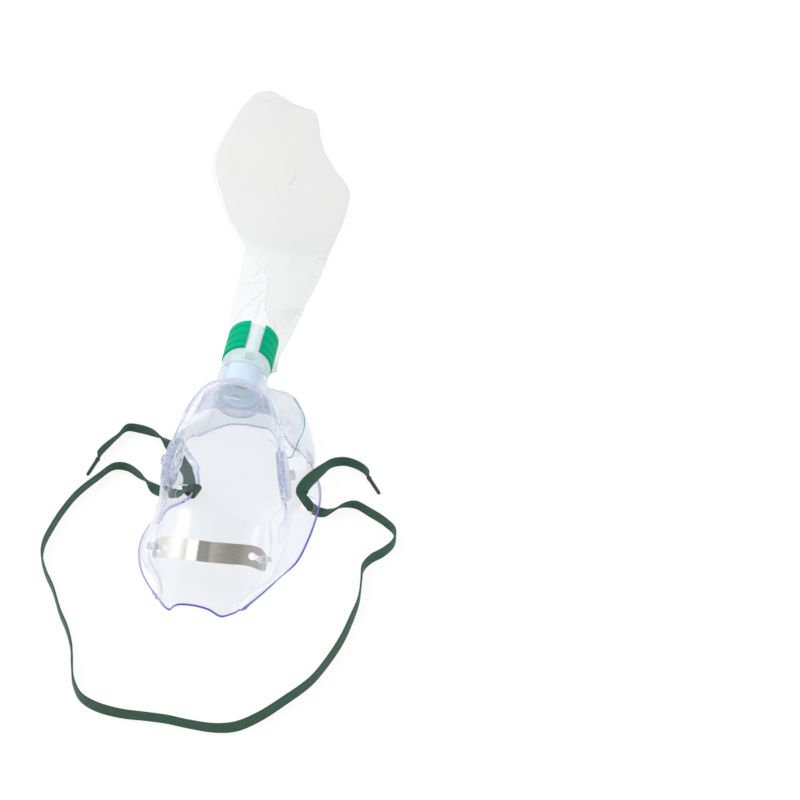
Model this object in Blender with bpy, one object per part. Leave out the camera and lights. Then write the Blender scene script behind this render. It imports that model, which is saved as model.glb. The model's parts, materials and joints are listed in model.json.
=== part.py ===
"""High-concentration oxygen mask with its reservoir bag, lying on a table with its face side down.

Metres, +Z up. X runs across the mask, Y runs from the nose notch towards the chin, the port and the
bag, and Z is the height above the table. Every piece is drawn in the mask's own frame, with the nose
notch near Y = 0, and hangs from one empty that puts the middle of the object at the world origin.
"""

import math

import bmesh
import bpy
import numpy as np
from mathutils import Matrix, Vector
from mathutils.bvhtree import BVHTree

MM = 0.001

# Shell: overall size of the moulding without its port, and its soft wall
SHELL_LENGTH = 137 * MM
SHELL_HALF_WIDTH = 44.5 * MM
SHELL_HEIGHT = 66 * MM
SHELL_WALL = 1.2 * MM
NOSE_LEAN = 6 * MM
LEAN_FADES_AT = 95 * MM

# Port cuff: the mask end of a standard 22 mm taper
CUFF_BORE_RADIUS = 11 * MM
CUFF_WALL = 2.1 * MM
CUFF_LENGTH = 13 * MM
CUFF_ROOT_DEPTH = 5 * MM
PORT_FACE_INSET = 2.44 * MM
PORT_HEIGHT = 50 * MM

# Clearance between touching pieces
GAP = 0.3 * MM

# Connector, revolved about the port axis
SPIGOT_RADIUS = CUFF_BORE_RADIUS - GAP
SPIGOT_LENGTH = 11.5 * MM
BODY_RADIUS = 12.6 * MM
BODY_LENGTH = 10 * MM
NECK_RADIUS = 10.9 * MM
NECK_LENGTH = 20.2 * MM
CONNECTOR_BORE_RADIUS = 9.2 * MM
SPIDER_THICKNESS = 1.6 * MM
SPIDER_HUB_RADIUS = 3 * MM
SPIDER_ARM_WIDTH = 1.8 * MM
SPIDER_PIN_RADIUS = 1.1 * MM
FLAP_SEAT_DEPTH = 1.5 * MM
FLAP_RADIUS = 8.4 * MM
FLAP_THICKNESS = 0.6 * MM

# Gas inlet: a tube that lies along the outside of the connector
INLET_RADIUS = 3.2 * MM
INLET_BORE_RADIUS = 1.6 * MM
INLET_LENGTH = 20.5 * MM
INLET_OFFSET = 15.4 * MM
INLET_STARTS_BEFORE_COLLAR = 8.5 * MM
INLET_TURN_DEG = 13

# Reservoir bag film and the green collar that clamps its neck
FILM = 0.5 * MM
COLLAR_WALL = 1.2 * MM
COLLAR_LENGTH = 19.5 * MM
COLLAR_GROOVES = 3
COLLAR_GROOVE_DEPTH = 0.5 * MM
COLLAR_GROOVE_WIDTH = 1.6 * MM
COLLAR_SLOT_WIDTH = 8.4 * MM

# Exhalation valves, one on each cheek
VALVE_AT = {-1: (-26 * MM, 70.3 * MM, 30 * MM), 1: (28.9 * MM, 70.7 * MM, 30 * MM)}
VALVE_FACING = {-1: (-1, 0.5, 0.03), 1: (1, 0.27, 0.1)}
FACET_RADIUS = 17.5 * MM
FACET_FADE = 13 * MM
FACET_FOOT = 6 * MM
SEAT_RADIUS = 12.8 * MM
SEAT_RISE = 1.3 * MM
SEAT_ROOT = 2.8 * MM
DISC_RADIUS = 12.1 * MM
DISC_THICKNESS = 0.6 * MM
POST_RADIUS = 1.4 * MM
POST_LENGTH = 1.8 * MM
POST_HEAD_RADIUS = 2.9 * MM
POST_HEAD_LENGTH = 2.8 * MM
VENT_RADIUS = 2.3 * MM
VENT_CIRCLE_RADIUS = 7.4 * MM
VENT_COUNT = 6

# Nose strip and the pegs that hold it
STRIP_PLAN_WIDTH = 8.8 * MM
STRIP_THICKNESS = 0.6 * MM
STRIP_LIFT = 0.9 * MM
STRIP_FOLD_AT = -5.5 * MM
STRIP_LEFT_END = -27.5 * MM
STRIP_RIGHT_END = 27 * MM
STRIP_AT = 23.5 * MM
STRIP_LEFT_SWEEP = 1.2 * MM
STRIP_RIGHT_SWEEP = 3.4 * MM
STRIP_STATIONS = 23
STRIP_CORNER = 4 * MM
KEYHOLE_RADIUS = 2.7 * MM
KEYHOLE_SLOT = 4 * MM
KEYHOLE_LENGTH = 5.2 * MM
PEG_RADIUS = 1.7 * MM
PEG_HEAD_RADIUS = 1.9 * MM
PEG_LENGTH = 6.5 * MM
PEG_HEAD_LENGTH = 0.8 * MM
PEG_FROM_END = 3.2 * MM

# Ears: the slots in the flange that hold the head strap
EAR_SLOT_LENGTH = 10 * MM
EAR_SLOT_WIDTH = 6.4 * MM
RIGHT_EAR_INSET = 5.86 * MM
LEFT_EAR_INSET = 6.25 * MM
RIGHT_EAR_AT = 76.8 * MM
LEFT_EAR_AT = 75 * MM

# Head strap
STRAP_WIDTH = 6.5 * MM
STRAP_THICKNESS = 1.0 * MM
STRAP_CLEARANCE = 0.12 * MM
TIP_RADIUS = 1.0 * MM
TIP_LENGTH = 13 * MM

# Steps between neighbouring guide points of the shell, along it and across it
STEPS_ALONG = 2
STEPS_ACROSS = 2

# The shell's guide lines, as (x, y, z) in per cent of the half width, the length and the height, from the
# nose notch over the muzzle, down the port face and over the chin cup to the chin rim. CREST is the middle
# line, SHOULDER the edge of the top panel, WALL the middle of the cheek, ROOT the foot of the cheek, where
# the sealing flange starts, and RIM the edge of the flange.
CREST = (
    (0, 1.8, 5.0), (0, 8.8, 17), (0, 17.5, 29.5), (0, 29, 44), (0, 42.5, 61), (0, 55.5, 78), (0, 65.5, 92),
    (0, 71.5, 99), (0, 75.3, 92.5), (0, 76.3, 76), (0, 76.6, 58), (0, 80, 50), (0, 88, 49), (0, 95.5, 46.5),
    (0, 99.5, 38), (0, 99.6, 21), (0, 95.3, 2.2),
)
SHOULDER = (
    (29, -0.4, 2.2), (36, 7.8, 13.5), (50, 16, 23.5), (53, 28, 38), (54, 40, 54.5), (53, 53.5, 72), (48, 64, 85.5),
    (39, 69.5, 92), (42, 71.3, 85), (45, 72.3, 73), (47, 73.7, 57.5), (54, 77.5, 50), (62, 85, 48.5), (55, 92.5, 46.5),
    (50, 96.5, 37), (45, 96.5, 20), (35, 92.3, 2.2),
)
WALL = (
    (38.8, 1.2, 2.2), (46, 8.6, 10), (61.5, 16, 15.5), (67, 26.5, 23), (66, 39.5, 34.5), (64, 51.5, 48), (63.3, 56, 60),
    (62, 58.8, 64.5), (62.5, 61.8, 63), (64.5, 65.5, 59), (67.5, 69.5, 54), (71, 74, 49.5), (75, 80, 44.5), (71.5, 87, 38.5),
    (63.5, 91, 30), (58, 91.5, 17), (48, 89.3, 2.2),
)
ROOT = (
    (44.4, 3, 2.2), (52.5, 10.8, 5.5), (68.8, 18.2, 7.5), (77.5, 27, 9), (77, 38, 11), (75.5, 50.5, 13.5), (75.5, 58.5, 15),
    (77, 63.5, 16.5), (80, 67, 18), (83.5, 70, 19), (86.5, 73, 19.5), (88.5, 76, 19.5), (87.5, 79.7, 19), (81.5, 83.8, 17),
    (73, 86.4, 13.5), (66, 87.5, 9.5), (56.5, 86.7, 2.2),
)
RIM = (
    (49.3, 5, 2.2), (65, 12.7, 2.2), (79, 20.5, 2.2), (93, 28.5, 2.6), (100, 39, 4.3), (103.5, 50, 6), (103.5, 58.5, 6),
    (101.5, 64, 4.6), (99.5, 67.5, 3), (97, 70, 2.4), (94.8, 72.4, 2.2), (92, 74.5, 2.2), (88, 77, 2.2),
    (83.6, 79.2, 2.2), (78.6, 81.3, 2.2), (73, 82.9, 2.2), (63, 84.8, 2.2),
)

# The left flange follows its own lines: along the stations of LEFT_TURN it is folded in under the cheek
LEFT_RIM = (
    (49.3, 5, 2.2), (65, 11, 2.2), (77.5, 18, 2.2), (85, 28, 2.8), (80, 38, 4), (67, 44.5, 4.8), (47, 51, 4.8),
    (41, 58, 4.8), (41.5, 63, 4.8), (44, 67, 4.8), (50, 70.5, 4.8), (58.5, 73.5, 4.8), (66, 76.5, 4.8), (70, 79, 4.6),
    (71, 81.2, 4), (69, 83, 3), (62, 84.9, 2.2),
)
LEFT_TURN = {
    5: (76, 44.5, 4.2), 6: (73.5, 52, 4.5), 7: (72, 58, 4.6), 8: (71, 63, 4.6), 9: (69, 67, 4.6), 10: (67, 70.5, 4.8),
}
LEFT_PULL = (1, 1, 1, 1, 1, 1, 1, 0.98, 0.94, 0.9, 0.86, 0.83, 0.82, 0.83, 0.86, 0.89, 0.95)

# What follows from the lines: the port's datum just inside the port face, and the ears beside the rims
PORT_FACE_AT = CREST[10][1] / 100 * SHELL_LENGTH - PORT_FACE_INSET
RIGHT_EAR = (RIM[5][0] / 100 * SHELL_HALF_WIDTH - RIGHT_EAR_INSET, RIGHT_EAR_AT)
LEFT_EAR = (-LEFT_RIM[7][0] / 100 * SHELL_HALF_WIDTH - LEFT_EAR_INSET, LEFT_EAR_AT)

# Reservoir bag: from the end of the collar to the far weld, the bag's left edge and its right edge as
# (x, y, z) and half its thickness, in millimetres
BAG_STATIONS = (
    ((-14.6, 158, 48.8), (12.9, 162, 47.8), 9.8), ((-17.6, 176, 45), (17, 176, 40.5), 8.6),
    ((-19, 197, 38), (19.5, 194, 33), 8), ((-21, 222, 31), (21.3, 219, 25.5), 7.5), ((-24, 243, 24), (22.4, 243.5, 18.5), 7),
    ((-32, 263, 17), (22.7, 261, 14.5), 6.5), ((-42, 285, 11), (24.5, 282, 11), 6), ((-51, 308, 8), (25.5, 303, 8.5), 5.4),
    ((-58.5, 328, 6.5), (24, 326, 7), 4.8), ((-61, 346, 5.7), (11.5, 346, 6.2), 4.4), ((-58.7, 369, 5), (1.5, 367, 5.8), 3.8),
    ((-55, 391, 4.2), (-5.5, 391, 4.6), 2.8), ((-51.5, 408, 3.2), (-12, 404, 3.4), 1.8), ((-45.5, 417, 2.4), (-24, 414, 2.4), 0.9),
)
BAG_WELD = 3 * MM
BAG_HALF_SIDES = 10

# The strap's route, as (x, y, z, roll): millimetres, and degrees from lying flat to standing on its edge.
# Where the roll is None the strap is being threaded through an ear and keeps the direction of its width.
STRAP_ROUTE = (
    (-72.9, 92.7, 3.4, 90), (-71.8, 96.7, 3.4, 86), (-69.4, 101.6, 3.4, 80), (-66, 108, 3.4, 70), (-62.5, 115, 3.4, 80),
    (-56, 115.4, 3.4, 88),
    (-48, 113.6, 3.4, 80), (-42, 110.8, 2.8, 45), (-37, 107, 1.2, 0), (-30, 98, 0.8, 0), (-24, 89.5, 0.8, 0),
    (-20.8, 80.2, 0.8, 0), (-17.8, 77.3, 0.8, 0), (-15.7, 76.4, 1, 0), (-14.1, 76.1, 2.5, None),
    (-13.6, 75.9, 4.3, None), (-14.6, 75.8, 6.1, None), (-17.4, 75.6, 7.1, None), (-21.2, 75.3, 6.4, None),
    (-24.3, 75.1, 3.1, None), (-26.4, 75, 1.3, None),
    (-29.5, 74.8, 0.8, 0), (-34.5, 75.2, 0.8, 0),
    (-39, 76.6, 1.1, 0), (-43.4, 79.4, 2.8, -50), (-49, 83, 3.4, -85), (-56.5, 87.2, 3.4, -85),
    (-63, 86.5, 3.4, -80), (-69, 78.4, 3.4, -80), (-77.3, 64.3, 3.4, -85), (-81.8, 51, 3.4, -88), (-84.3, 39.5, 3.4, -90),
    (-85.6, 29.1, 3.4, -90), (-84.5, 20.5, 3.4, -90), (-80.2, 10.7, 3.4, -90), (-73.9, 0.7, 3.4, -90), (-67, -13, 3.4, -90),
    (-61, -23, 3.4, -88), (-56.3, -33.5, 3.4, -88), (-53.2, -45, 3.4, -88), (-50.4, -53.5, 3.4, -88), (-45, -61.5, 3.4, -85),
    (-37, -65.7, 3.4, -82), (-24.6, -67.8, 3.4, -85), (-12.4, -67.6, 3.4, -88), (-2.5, -67.6, 3.4, -88), (8, -68.6, 3.4, -88),
    (20.7, -68.8, 3.4, -85), (30.2, -66.3, 3.4, -80), (39.6, -59.2, 3.4, -80), (49.7, -48, 3.4, -82), (60, -34.9, 3.4, -84),
    (66, -22, 3.4, -82), (71, -7, 3.4, -80), (73.6, 6, 3.4, -82), (75.4, 19, 3.4, -90), (74.9, 31, 3.4, -92),
    (74.4, 40, 3.4, -88), (77.6, 46.6, 3.4, -85), (83, 52, 3.4, -84), (87.2, 59, 3.4, -88), (86.9, 66.5, 3.4, -90),
    (81, 72.4, 3.4, -92), (72, 77.8, 3.4, -92), (64.4, 81.5, 3.4, -86), (58.4, 80.2, 3.2, -65), (53.6, 76.6, 2.7, -42),
    (49.6, 75, 1.4, -10), (46.4, 75.6, 0.8, 0), (43.8, 76, 1.2, 0), (40.6, 76.6, 5, None), (37.8, 77.4, 8.8, None),
    (36.9, 80, 10.6, -6), (38.2, 85, 10.7, -30), (41.3, 93.4, 8.4, -55),
    (44.4, 101, 5.8, -75), (48.4, 108, 4, -88), (54.4, 110.6, 3.5, -90), (60.4, 109.6, 3.4, -90),
    (65.4, 106.8, 3.4, -90), (68, 103.7, 3.4, -90),
)
STRAP_STEPS = 2


def smooth(points, steps):
    """Points on one smooth curve through the given points, with this many steps between neighbours."""
    p = np.asarray(points, float)
    gap = np.maximum(np.linalg.norm(np.diff(p, axis=0), axis=1), 1e-6) ** 0.5
    chord = np.diff(p, axis=0) / gap[:, None]
    slope = np.empty_like(p)
    weight = (gap[:-1] / (gap[:-1] + gap[1:]))[:, None]
    slope[1:-1] = chord[:-1] * (1 - weight) + chord[1:] * weight
    slope[0] = 1.5 * chord[0] - 0.5 * slope[1]
    slope[-1] = 1.5 * chord[-1] - 0.5 * slope[-2]
    out = []
    for i, width in enumerate(gap):
        t = np.linspace(0, 1, steps, endpoint=False)[:, None]
        start = (1 + 2 * t) * (1 - t) ** 2 * p[i] + t * (1 - t) ** 2 * width * slope[i]
        end = t * t * (3 - 2 * t) * p[i + 1] + t * t * (t - 1) * width * slope[i + 1]
        out.append(start + end)
    out.append(p[-1:])
    return np.vstack(out)


def scaled(line):
    """A guide line in metres, from its per cent values."""
    return np.array(line, float) / 100 * (SHELL_HALF_WIDTH, SHELL_LENGTH, SHELL_HEIGHT)


def guide_lines():
    """The shell's guide lines from the left rim over the crest to the right rim, each from nose to chin."""
    crest, shoulder, wall, root, rim = (scaled(line) for line in (CREST, SHOULDER, WALL, ROOT, RIM))
    panel = crest + (shoulder - crest) * (0.62, 0.28, 0.24)
    turn = (root + rim) / 2 - (0, 0, 0.15) * root
    right = [panel, shoulder, wall, root, turn, rim]
    left = [line * (-1, 1, 1) for line in (panel, shoulder, wall, root)]
    pull = np.array(LEFT_PULL)
    for line in left[1:]:
        line[:, 0] *= pull
    left_rim = scaled(LEFT_RIM) * (-1, 1, 1)
    left_turn = (left[3] + left_rim) / 2 - (0, 0, 0.15) * left[3]
    left_turn[list(LEFT_TURN)] = scaled(list(LEFT_TURN.values())) * (-1, 1, 1)
    left += [left_turn, left_rim]
    lean = NOSE_LEAN * np.clip(1 - crest[:, 1] / LEAN_FADES_AT, 0, 1)
    shares = (0.8, 0.45, 0.38, 0.3, 0.27, 0.24)
    crest[:, 0] -= lean
    for side in (left, right):
        for line, share in zip(side, shares):
            line[:, 0] -= share * lean
    return np.array(left[::-1] + [crest] + right)


def pressed_flat(points):
    """The points with a flat facet on each cheek for its valve seat, which fades into the wall round it."""
    for side, centre in VALVE_AT.items():
        normal = np.array(VALVE_FACING[side], float)
        away = points - centre
        reach = np.linalg.norm(away[..., 1:], axis=-1)
        fade = np.clip((reach - FACET_RADIUS) / FACET_FADE, 0, 1)
        share = 1 - fade * fade * (3 - 2 * fade)
        share[(points[..., 0] * side <= 0) | (points[..., 2] < FACET_FOOT)] = 0
        facet = -(away[..., 1] * normal[1] + away[..., 2] * normal[2]) / normal[0]
        points[..., 0] += share * (facet - away[..., 0])
    return points


def shell_grid():
    """Points of the shell's outer surface: rows from nose to chin, columns from the left rim to the right."""
    lines = np.array([smooth(line, STEPS_ALONG) for line in guide_lines()])
    return pressed_flat(np.array([smooth(lines[:, row], STEPS_ACROSS) for row in range(lines.shape[1])]))


def grid_faces(rows, columns):
    """The quads of a grid of points, with their outer side upwards."""
    return [
        (i * columns + j, i * columns + j + 1, (i + 1) * columns + j + 1, (i + 1) * columns + j)
        for i in range(rows - 1)
        for j in range(columns - 1)
    ]


GRID = shell_grid()
SKIN = BVHTree.FromPolygons([Vector(p) for p in GRID.reshape(-1, 3)], grid_faces(*GRID.shape[:2]))


def new_object(name, mesh, material=None, parent=None):
    """One object in the scene's collection, from a finished mesh."""
    piece = bpy.data.objects.new(name, mesh)
    bpy.context.scene.collection.objects.link(piece)
    piece.parent = parent
    if material:
        mesh.materials.append(material)
    return piece


def mesh_of(name, points, faces):
    """A mesh with its faces turned outwards and its round parts shaded smooth."""
    mesh = bpy.data.meshes.new(name)
    mesh.from_pydata([tuple(map(float, p)) for p in points], [], [tuple(f) for f in faces])
    b = bmesh.new()
    b.from_mesh(mesh)
    bmesh.ops.recalc_face_normals(b, faces=b.faces)
    b.to_mesh(mesh)
    b.free()
    mesh.shade_smooth()
    mesh.set_sharp_from_angle(angle=math.radians(40))
    return mesh


def turned(mesh, matrix):
    """The mesh after a rotation and a move."""
    mesh.transform(matrix)
    return mesh


def rings_mesh(name, rings, capped=True):
    """A closed skin over rings of equal length, with a flat cap on each end or, uncapped, as a torus."""
    rings = np.asarray(rings)
    count, size = rings.shape[:2]
    points = rings.reshape(-1, 3)
    faces = []
    for i in range(count - 1 if capped else count):
        for j in range(size):
            a, b = i * size + j, i * size + (j + 1) % size
            c, d = ((i + 1) % count) * size + (j + 1) % size, ((i + 1) % count) * size + j
            faces.append((a, b, c, d))
    if capped:
        faces.append(tuple(range(size)))
        faces.append(tuple(range((count - 1) * size, count * size)))
    return mesh_of(name, points, faces)


def revolved(name, profile, sides, start=0.0, sweep=360.0):
    """A closed (radius, along) profile turned about the Y axis, all the way round or over part of a turn."""
    whole = sweep >= 360
    steps = sides if whole else max(3, round(sides * sweep / 360))
    angles = [math.radians(start + sweep * i / steps) for i in range(steps if whole else steps + 1)]
    rings = [[(r * math.sin(a), y, r * math.cos(a)) for r, y in profile] for a in angles]
    return rings_mesh(name, rings, capped=not whole)


def rod(name, radius, length, sides=20, top_radius=None):
    """A closed round rod from the origin along +Z."""
    top_radius = radius if top_radius is None else top_radius
    turn = [2 * math.pi * i / sides for i in range(sides)]
    rings = [
        [(r * math.cos(a), r * math.sin(a), z) for a in turn] for r, z in ((radius, 0), (top_radius, length))
    ]
    return rings_mesh(name, rings)


def block(name, size, centre=(0, 0, 0)):
    """A closed box of this size."""
    b = bmesh.new()
    bmesh.ops.create_cube(b, size=1, matrix=Matrix.Translation(centre) @ Matrix.Diagonal((*size, 1)))
    mesh = bpy.data.meshes.new(name)
    b.to_mesh(mesh)
    b.free()
    return mesh


def facing(point, normal, along=(0, 1, 0)):
    """The matrix that puts +Z along the normal and +Y near the given direction, at the point."""
    z = Vector(normal).normalized()
    y = Vector(along) - Vector(along).dot(z) * z
    y.normalize()
    x = y.cross(z)
    turn = Matrix((x, y, z)).transposed().to_4x4()
    return Matrix.Translation(Vector(point)) @ turn


def combine(piece, operation, meshes):
    """Adds one Boolean of the piece with several closed bodies, which stay as hidden objects."""
    bodies = bpy.data.collections.new(f"{piece.name}_{operation.lower()}")
    bodies.hide_render = True
    bpy.context.scene.collection.children.link(bodies)
    for number, mesh in enumerate(meshes):
        body = bpy.data.objects.new(f"{bodies.name}_{number}", mesh)
        body.parent = ROOT_EMPTY
        body.hide_render = True
        body.display_type = "WIRE"
        bodies.objects.link(body)
    piece.modifiers.new("triangles", "TRIANGULATE")
    change = piece.modifiers.new(operation.lower(), "BOOLEAN")
    change.operation = operation
    change.operand_type = "COLLECTION"
    change.collection = bodies


def material(name, colour, roughness, metallic=0.0, alpha=1.0, transmission=0.0):
    """A Principled material with the piece's own colour and finish."""
    made = bpy.data.materials.new(name)
    made.use_nodes = True
    shader = made.node_tree.nodes["Principled BSDF"]
    shader.inputs["Base Color"].default_value = (*colour, 1)
    shader.inputs["Roughness"].default_value = roughness
    shader.inputs["Metallic"].default_value = metallic
    shader.inputs["Alpha"].default_value = alpha
    shader.inputs["Transmission Weight"].default_value = transmission
    made.diffuse_color = (*colour, alpha)
    return made


def cheek_frame(side):
    """The seat's place on one cheek's facet, with +Z outwards."""
    return facing(VALVE_AT[side], VALVE_FACING[side])


def on_strip(x):
    """The nose strip's place on the shell at this x: its front edge, its back edge and its upward direction."""
    away = x - STRIP_FOLD_AT
    end, sweep = (STRIP_RIGHT_END, STRIP_RIGHT_SWEEP) if away > 0 else (STRIP_LEFT_END, STRIP_LEFT_SWEEP)
    y = STRIP_AT + sweep * (away / (end - STRIP_FOLD_AT)) ** 2
    edges = []
    for step in (-1, 1):
        at = Vector((x, y + step * STRIP_PLAN_WIDTH / 2, SHELL_HEIGHT))
        edges.append(SKIN.ray_cast(at, Vector((0, 0, -1)))[0])
    front, back = edges
    beside = []
    for step in (-2 * MM, 2 * MM):
        beside.append(SKIN.ray_cast(Vector((x + step, y, SHELL_HEIGHT)), Vector((0, 0, -1)))[0])
    up = (beside[1] - beside[0]).cross(back - front).normalized()
    return front, back, up


def strip_place(x):
    """The matrix that stands on the middle of the nose strip's line at this x, with +Y along the strip."""
    front, back, up = on_strip(x)
    middle = (front + back) / 2
    side = 1 if x > STRIP_FOLD_AT else -1
    inner_front, inner_back, _ = on_strip(x - side * 4 * MM)
    return facing(middle, up, middle - (inner_front + inner_back) / 2)


def make_shell(look):
    """The soft moulding: a lofted skin made solid, with its cuff, seats, posts and pegs, then its openings."""
    mesh = bpy.data.meshes.new("mask_shell")
    mesh.from_pydata([tuple(map(float, p)) for p in GRID.reshape(-1, 3)], [], grid_faces(*GRID.shape[:2]))
    mesh.shade_smooth()
    shell = new_object("mask_shell", mesh, look, ROOT_EMPTY)
    wall = shell.modifiers.new("wall", "SOLIDIFY")
    wall.thickness = SHELL_WALL
    wall.offset = -1

    cuff_outer = CUFF_BORE_RADIUS + CUFF_WALL
    cuff = turned(
        rod("cuff", cuff_outer, CUFF_ROOT_DEPTH + CUFF_LENGTH, 40),
        facing((0, PORT_FACE_AT - CUFF_ROOT_DEPTH, PORT_HEIGHT), (0, 1, 0), (0, 0, 1)),
    )
    bosses, cuts = [cuff], []
    cuts.append(
        turned(
            rod("bore", CUFF_BORE_RADIUS, 3 * CUFF_ROOT_DEPTH + CUFF_LENGTH, 40),
            facing((0, PORT_FACE_AT - 2 * CUFF_ROOT_DEPTH, PORT_HEIGHT), (0, 1, 0), (0, 0, 1)),
        )
    )
    for side in (-1, 1):
        place = cheek_frame(side)
        bosses.append(
            turned(rod("seat", SEAT_RADIUS, SEAT_ROOT + SEAT_RISE, 32), place @ Matrix.Translation((0, 0, -SEAT_ROOT)))
        )
        bosses.append(turned(rod("post", POST_RADIUS, SEAT_RISE + POST_LENGTH, 12), place))
        head = Matrix.Translation((0, 0, SEAT_RISE + POST_LENGTH - GAP))
        bosses.append(turned(rod("head", POST_HEAD_RADIUS, POST_HEAD_LENGTH, 16, 0.9 * POST_HEAD_RADIUS), place @ head))
        for i in range(VENT_COUNT):
            angle = 2 * math.pi * i / VENT_COUNT
            spot = (VENT_CIRCLE_RADIUS * math.cos(angle), VENT_CIRCLE_RADIUS * math.sin(angle), -3 * SEAT_ROOT)
            hole = rod("vent", VENT_RADIUS, 5 * SEAT_ROOT, 12)
            cuts.append(turned(hole, place @ Matrix.Translation(spot)))
    for end in (STRIP_LEFT_END, STRIP_RIGHT_END):
        inwards = -1 if end > 0 else 1
        peg = strip_place(end + inwards * PEG_FROM_END) @ Matrix.Translation((0, 0, -SHELL_WALL / 2))
        bosses.append(turned(rod("peg", PEG_RADIUS, PEG_LENGTH, 12), peg))
        top = Matrix.Translation((0, 0, PEG_LENGTH - GAP))
        bosses.append(turned(rod("peg_head", PEG_HEAD_RADIUS, PEG_HEAD_LENGTH, 14, PEG_RADIUS), peg @ top))
    for x, y in (RIGHT_EAR, LEFT_EAR):
        cuts.append(block("slot", (EAR_SLOT_WIDTH, EAR_SLOT_LENGTH, 12 * MM), (x, y, 4 * MM)))
    combine(shell, "UNION", bosses)
    combine(shell, "DIFFERENCE", cuts)
    return shell


def make_strip(look):
    """The soft aluminium nose strip, bent over the shell's crest, with a keyhole slot at each end."""
    rings = []
    for x in np.linspace(STRIP_LEFT_END, STRIP_RIGHT_END, STRIP_STATIONS):
        front, back, up = on_strip(x)
        from_end = min(x - STRIP_LEFT_END, STRIP_RIGHT_END - x, STRIP_CORNER)
        cut = 1 - math.sqrt(max(0, 1 - (1 - from_end / STRIP_CORNER) ** 2))
        share = 1 - 0.35 * cut
        middle, half = (front + back) / 2, (back - front) / 2
        edges = (middle - half * share, middle + half * share)
        low, high = up * STRIP_LIFT, up * (STRIP_LIFT + STRIP_THICKNESS)
        rings.append([edges[0] + low, edges[1] + low, edges[1] + high, edges[0] + high])
    strip = new_object("nose_strip", rings_mesh("nose_strip", rings), look, ROOT_EMPTY)
    cuts = []
    for end in (STRIP_LEFT_END, STRIP_RIGHT_END):
        inwards = -1 if end > 0 else 1
        place = strip_place(end + inwards * PEG_FROM_END)
        slot = block("slot", (KEYHOLE_SLOT, KEYHOLE_LENGTH, 6 * MM), (0, -KEYHOLE_LENGTH / 2, 0))
        cuts.append(turned(slot, place))
        for at, radius in ((0, KEYHOLE_SLOT / 2 + 0.05 * MM), (-KEYHOLE_LENGTH, KEYHOLE_RADIUS)):
            cuts.append(turned(rod("hole", radius, 6.4 * MM, 18), place @ Matrix.Translation((0, at, -3.2 * MM))))
    combine(strip, "DIFFERENCE", cuts)
    return strip


def make_disc(name, side, look):
    """A thin exhalation disc on its seat, with the post through its middle."""
    bottom = SEAT_RISE + GAP
    hole = POST_RADIUS + GAP
    profile = (
        (hole, bottom), (DISC_RADIUS, bottom), (DISC_RADIUS, bottom + DISC_THICKNESS), (hole, bottom + DISC_THICKNESS),
    )
    upright = Matrix.Rotation(math.radians(90), 4, "X")
    disc = turned(revolved(name, profile, 32), upright)
    return new_object(name, turned(disc, cheek_frame(side)), look, ROOT_EMPTY)


def connector_sections():
    """Where the connector's parts start along Y: spigot, shoulder, neck and end."""
    shoulder = PORT_FACE_AT + CUFF_LENGTH + GAP
    neck = shoulder + BODY_LENGTH
    return shoulder - SPIGOT_LENGTH, shoulder, neck, neck + NECK_LENGTH


def make_connector(look):
    """The moulded connector: spigot, body, neck, gas inlet tube and the spider that carries the flap."""
    spigot, shoulder, neck, end = connector_sections()
    bore = CONNECTOR_BORE_RADIUS
    profile = (
        (bore, spigot), (SPIGOT_RADIUS - 0.4 * MM, spigot), (SPIGOT_RADIUS, spigot + 1.5 * MM), (SPIGOT_RADIUS, shoulder),
        (BODY_RADIUS - 0.6 * MM, shoulder), (BODY_RADIUS, shoulder + 0.8 * MM), (BODY_RADIUS, neck - 0.6 * MM),
        (BODY_RADIUS - 0.6 * MM, neck), (NECK_RADIUS, neck), (NECK_RADIUS, end - 0.8 * MM), (NECK_RADIUS - 0.6 * MM, end),
        (bore, end),
    )
    axis = Matrix.Translation((0, 0, PORT_HEIGHT))
    body = new_object("connector_body", turned(revolved("connector_body", profile, 40), axis), look, ROOT_EMPTY)

    turn = math.radians(INLET_TURN_DEG)
    outwards = Vector((math.sin(turn), 0, math.cos(turn)))
    start = neck - INLET_STARTS_BEFORE_COLLAR
    inlet_at = Vector((0, start, PORT_HEIGHT)) + outwards * INLET_OFFSET
    along = facing(inlet_at, (0, 1, 0), tuple(outwards))
    root = block("root", (2 * INLET_RADIUS - GAP, 5 * MM, INLET_STARTS_BEFORE_COLLAR - GAP))
    middle = Matrix.Translation((0, -3 * MM, INLET_STARTS_BEFORE_COLLAR / 2))
    added = [turned(rod("inlet", INLET_RADIUS, INLET_LENGTH, 20), along), turned(root, along @ middle)]

    face = facing((0, shoulder + FLAP_SEAT_DEPTH, PORT_HEIGHT), (0, 1, 0), (0, 0, 1))
    added.append(turned(rod("hub", SPIDER_HUB_RADIUS, SPIDER_THICKNESS, 18), face))
    reach = bore + 0.5 * MM
    for i in range(3):
        arm = block("arm", (SPIDER_ARM_WIDTH, reach, SPIDER_THICKNESS - 2 * GAP), (0, reach / 2, SPIDER_THICKNESS / 2))
        added.append(turned(arm, face @ Matrix.Rotation(math.radians(120 * i), 4, "Z")))
    pin_length = SPIDER_THICKNESS / 2 + GAP + FLAP_THICKNESS + 1.4 * MM
    pin = rod("pin", SPIDER_PIN_RADIUS, pin_length, 12)
    back = Matrix.Translation((0, 0, SPIDER_THICKNESS / 2)) @ Matrix.Rotation(math.pi, 4, "X")
    added.append(turned(pin, face @ back))
    combine(body, "UNION", added)

    gas = rod("gas", INLET_BORE_RADIUS, INLET_LENGTH, 14)
    port = facing(Vector((0, start + 4.5 * MM, PORT_HEIGHT)) + outwards * (bore - 2 * MM), tuple(outwards))
    holes = [
        turned(gas, along @ Matrix.Translation((0, 0, 3 * MM))),
        turned(rod("gas_port", INLET_BORE_RADIUS, INLET_OFFSET - bore + 1.4 * MM, 14), port),
    ]
    combine(body, "DIFFERENCE", holes)
    return body


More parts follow.
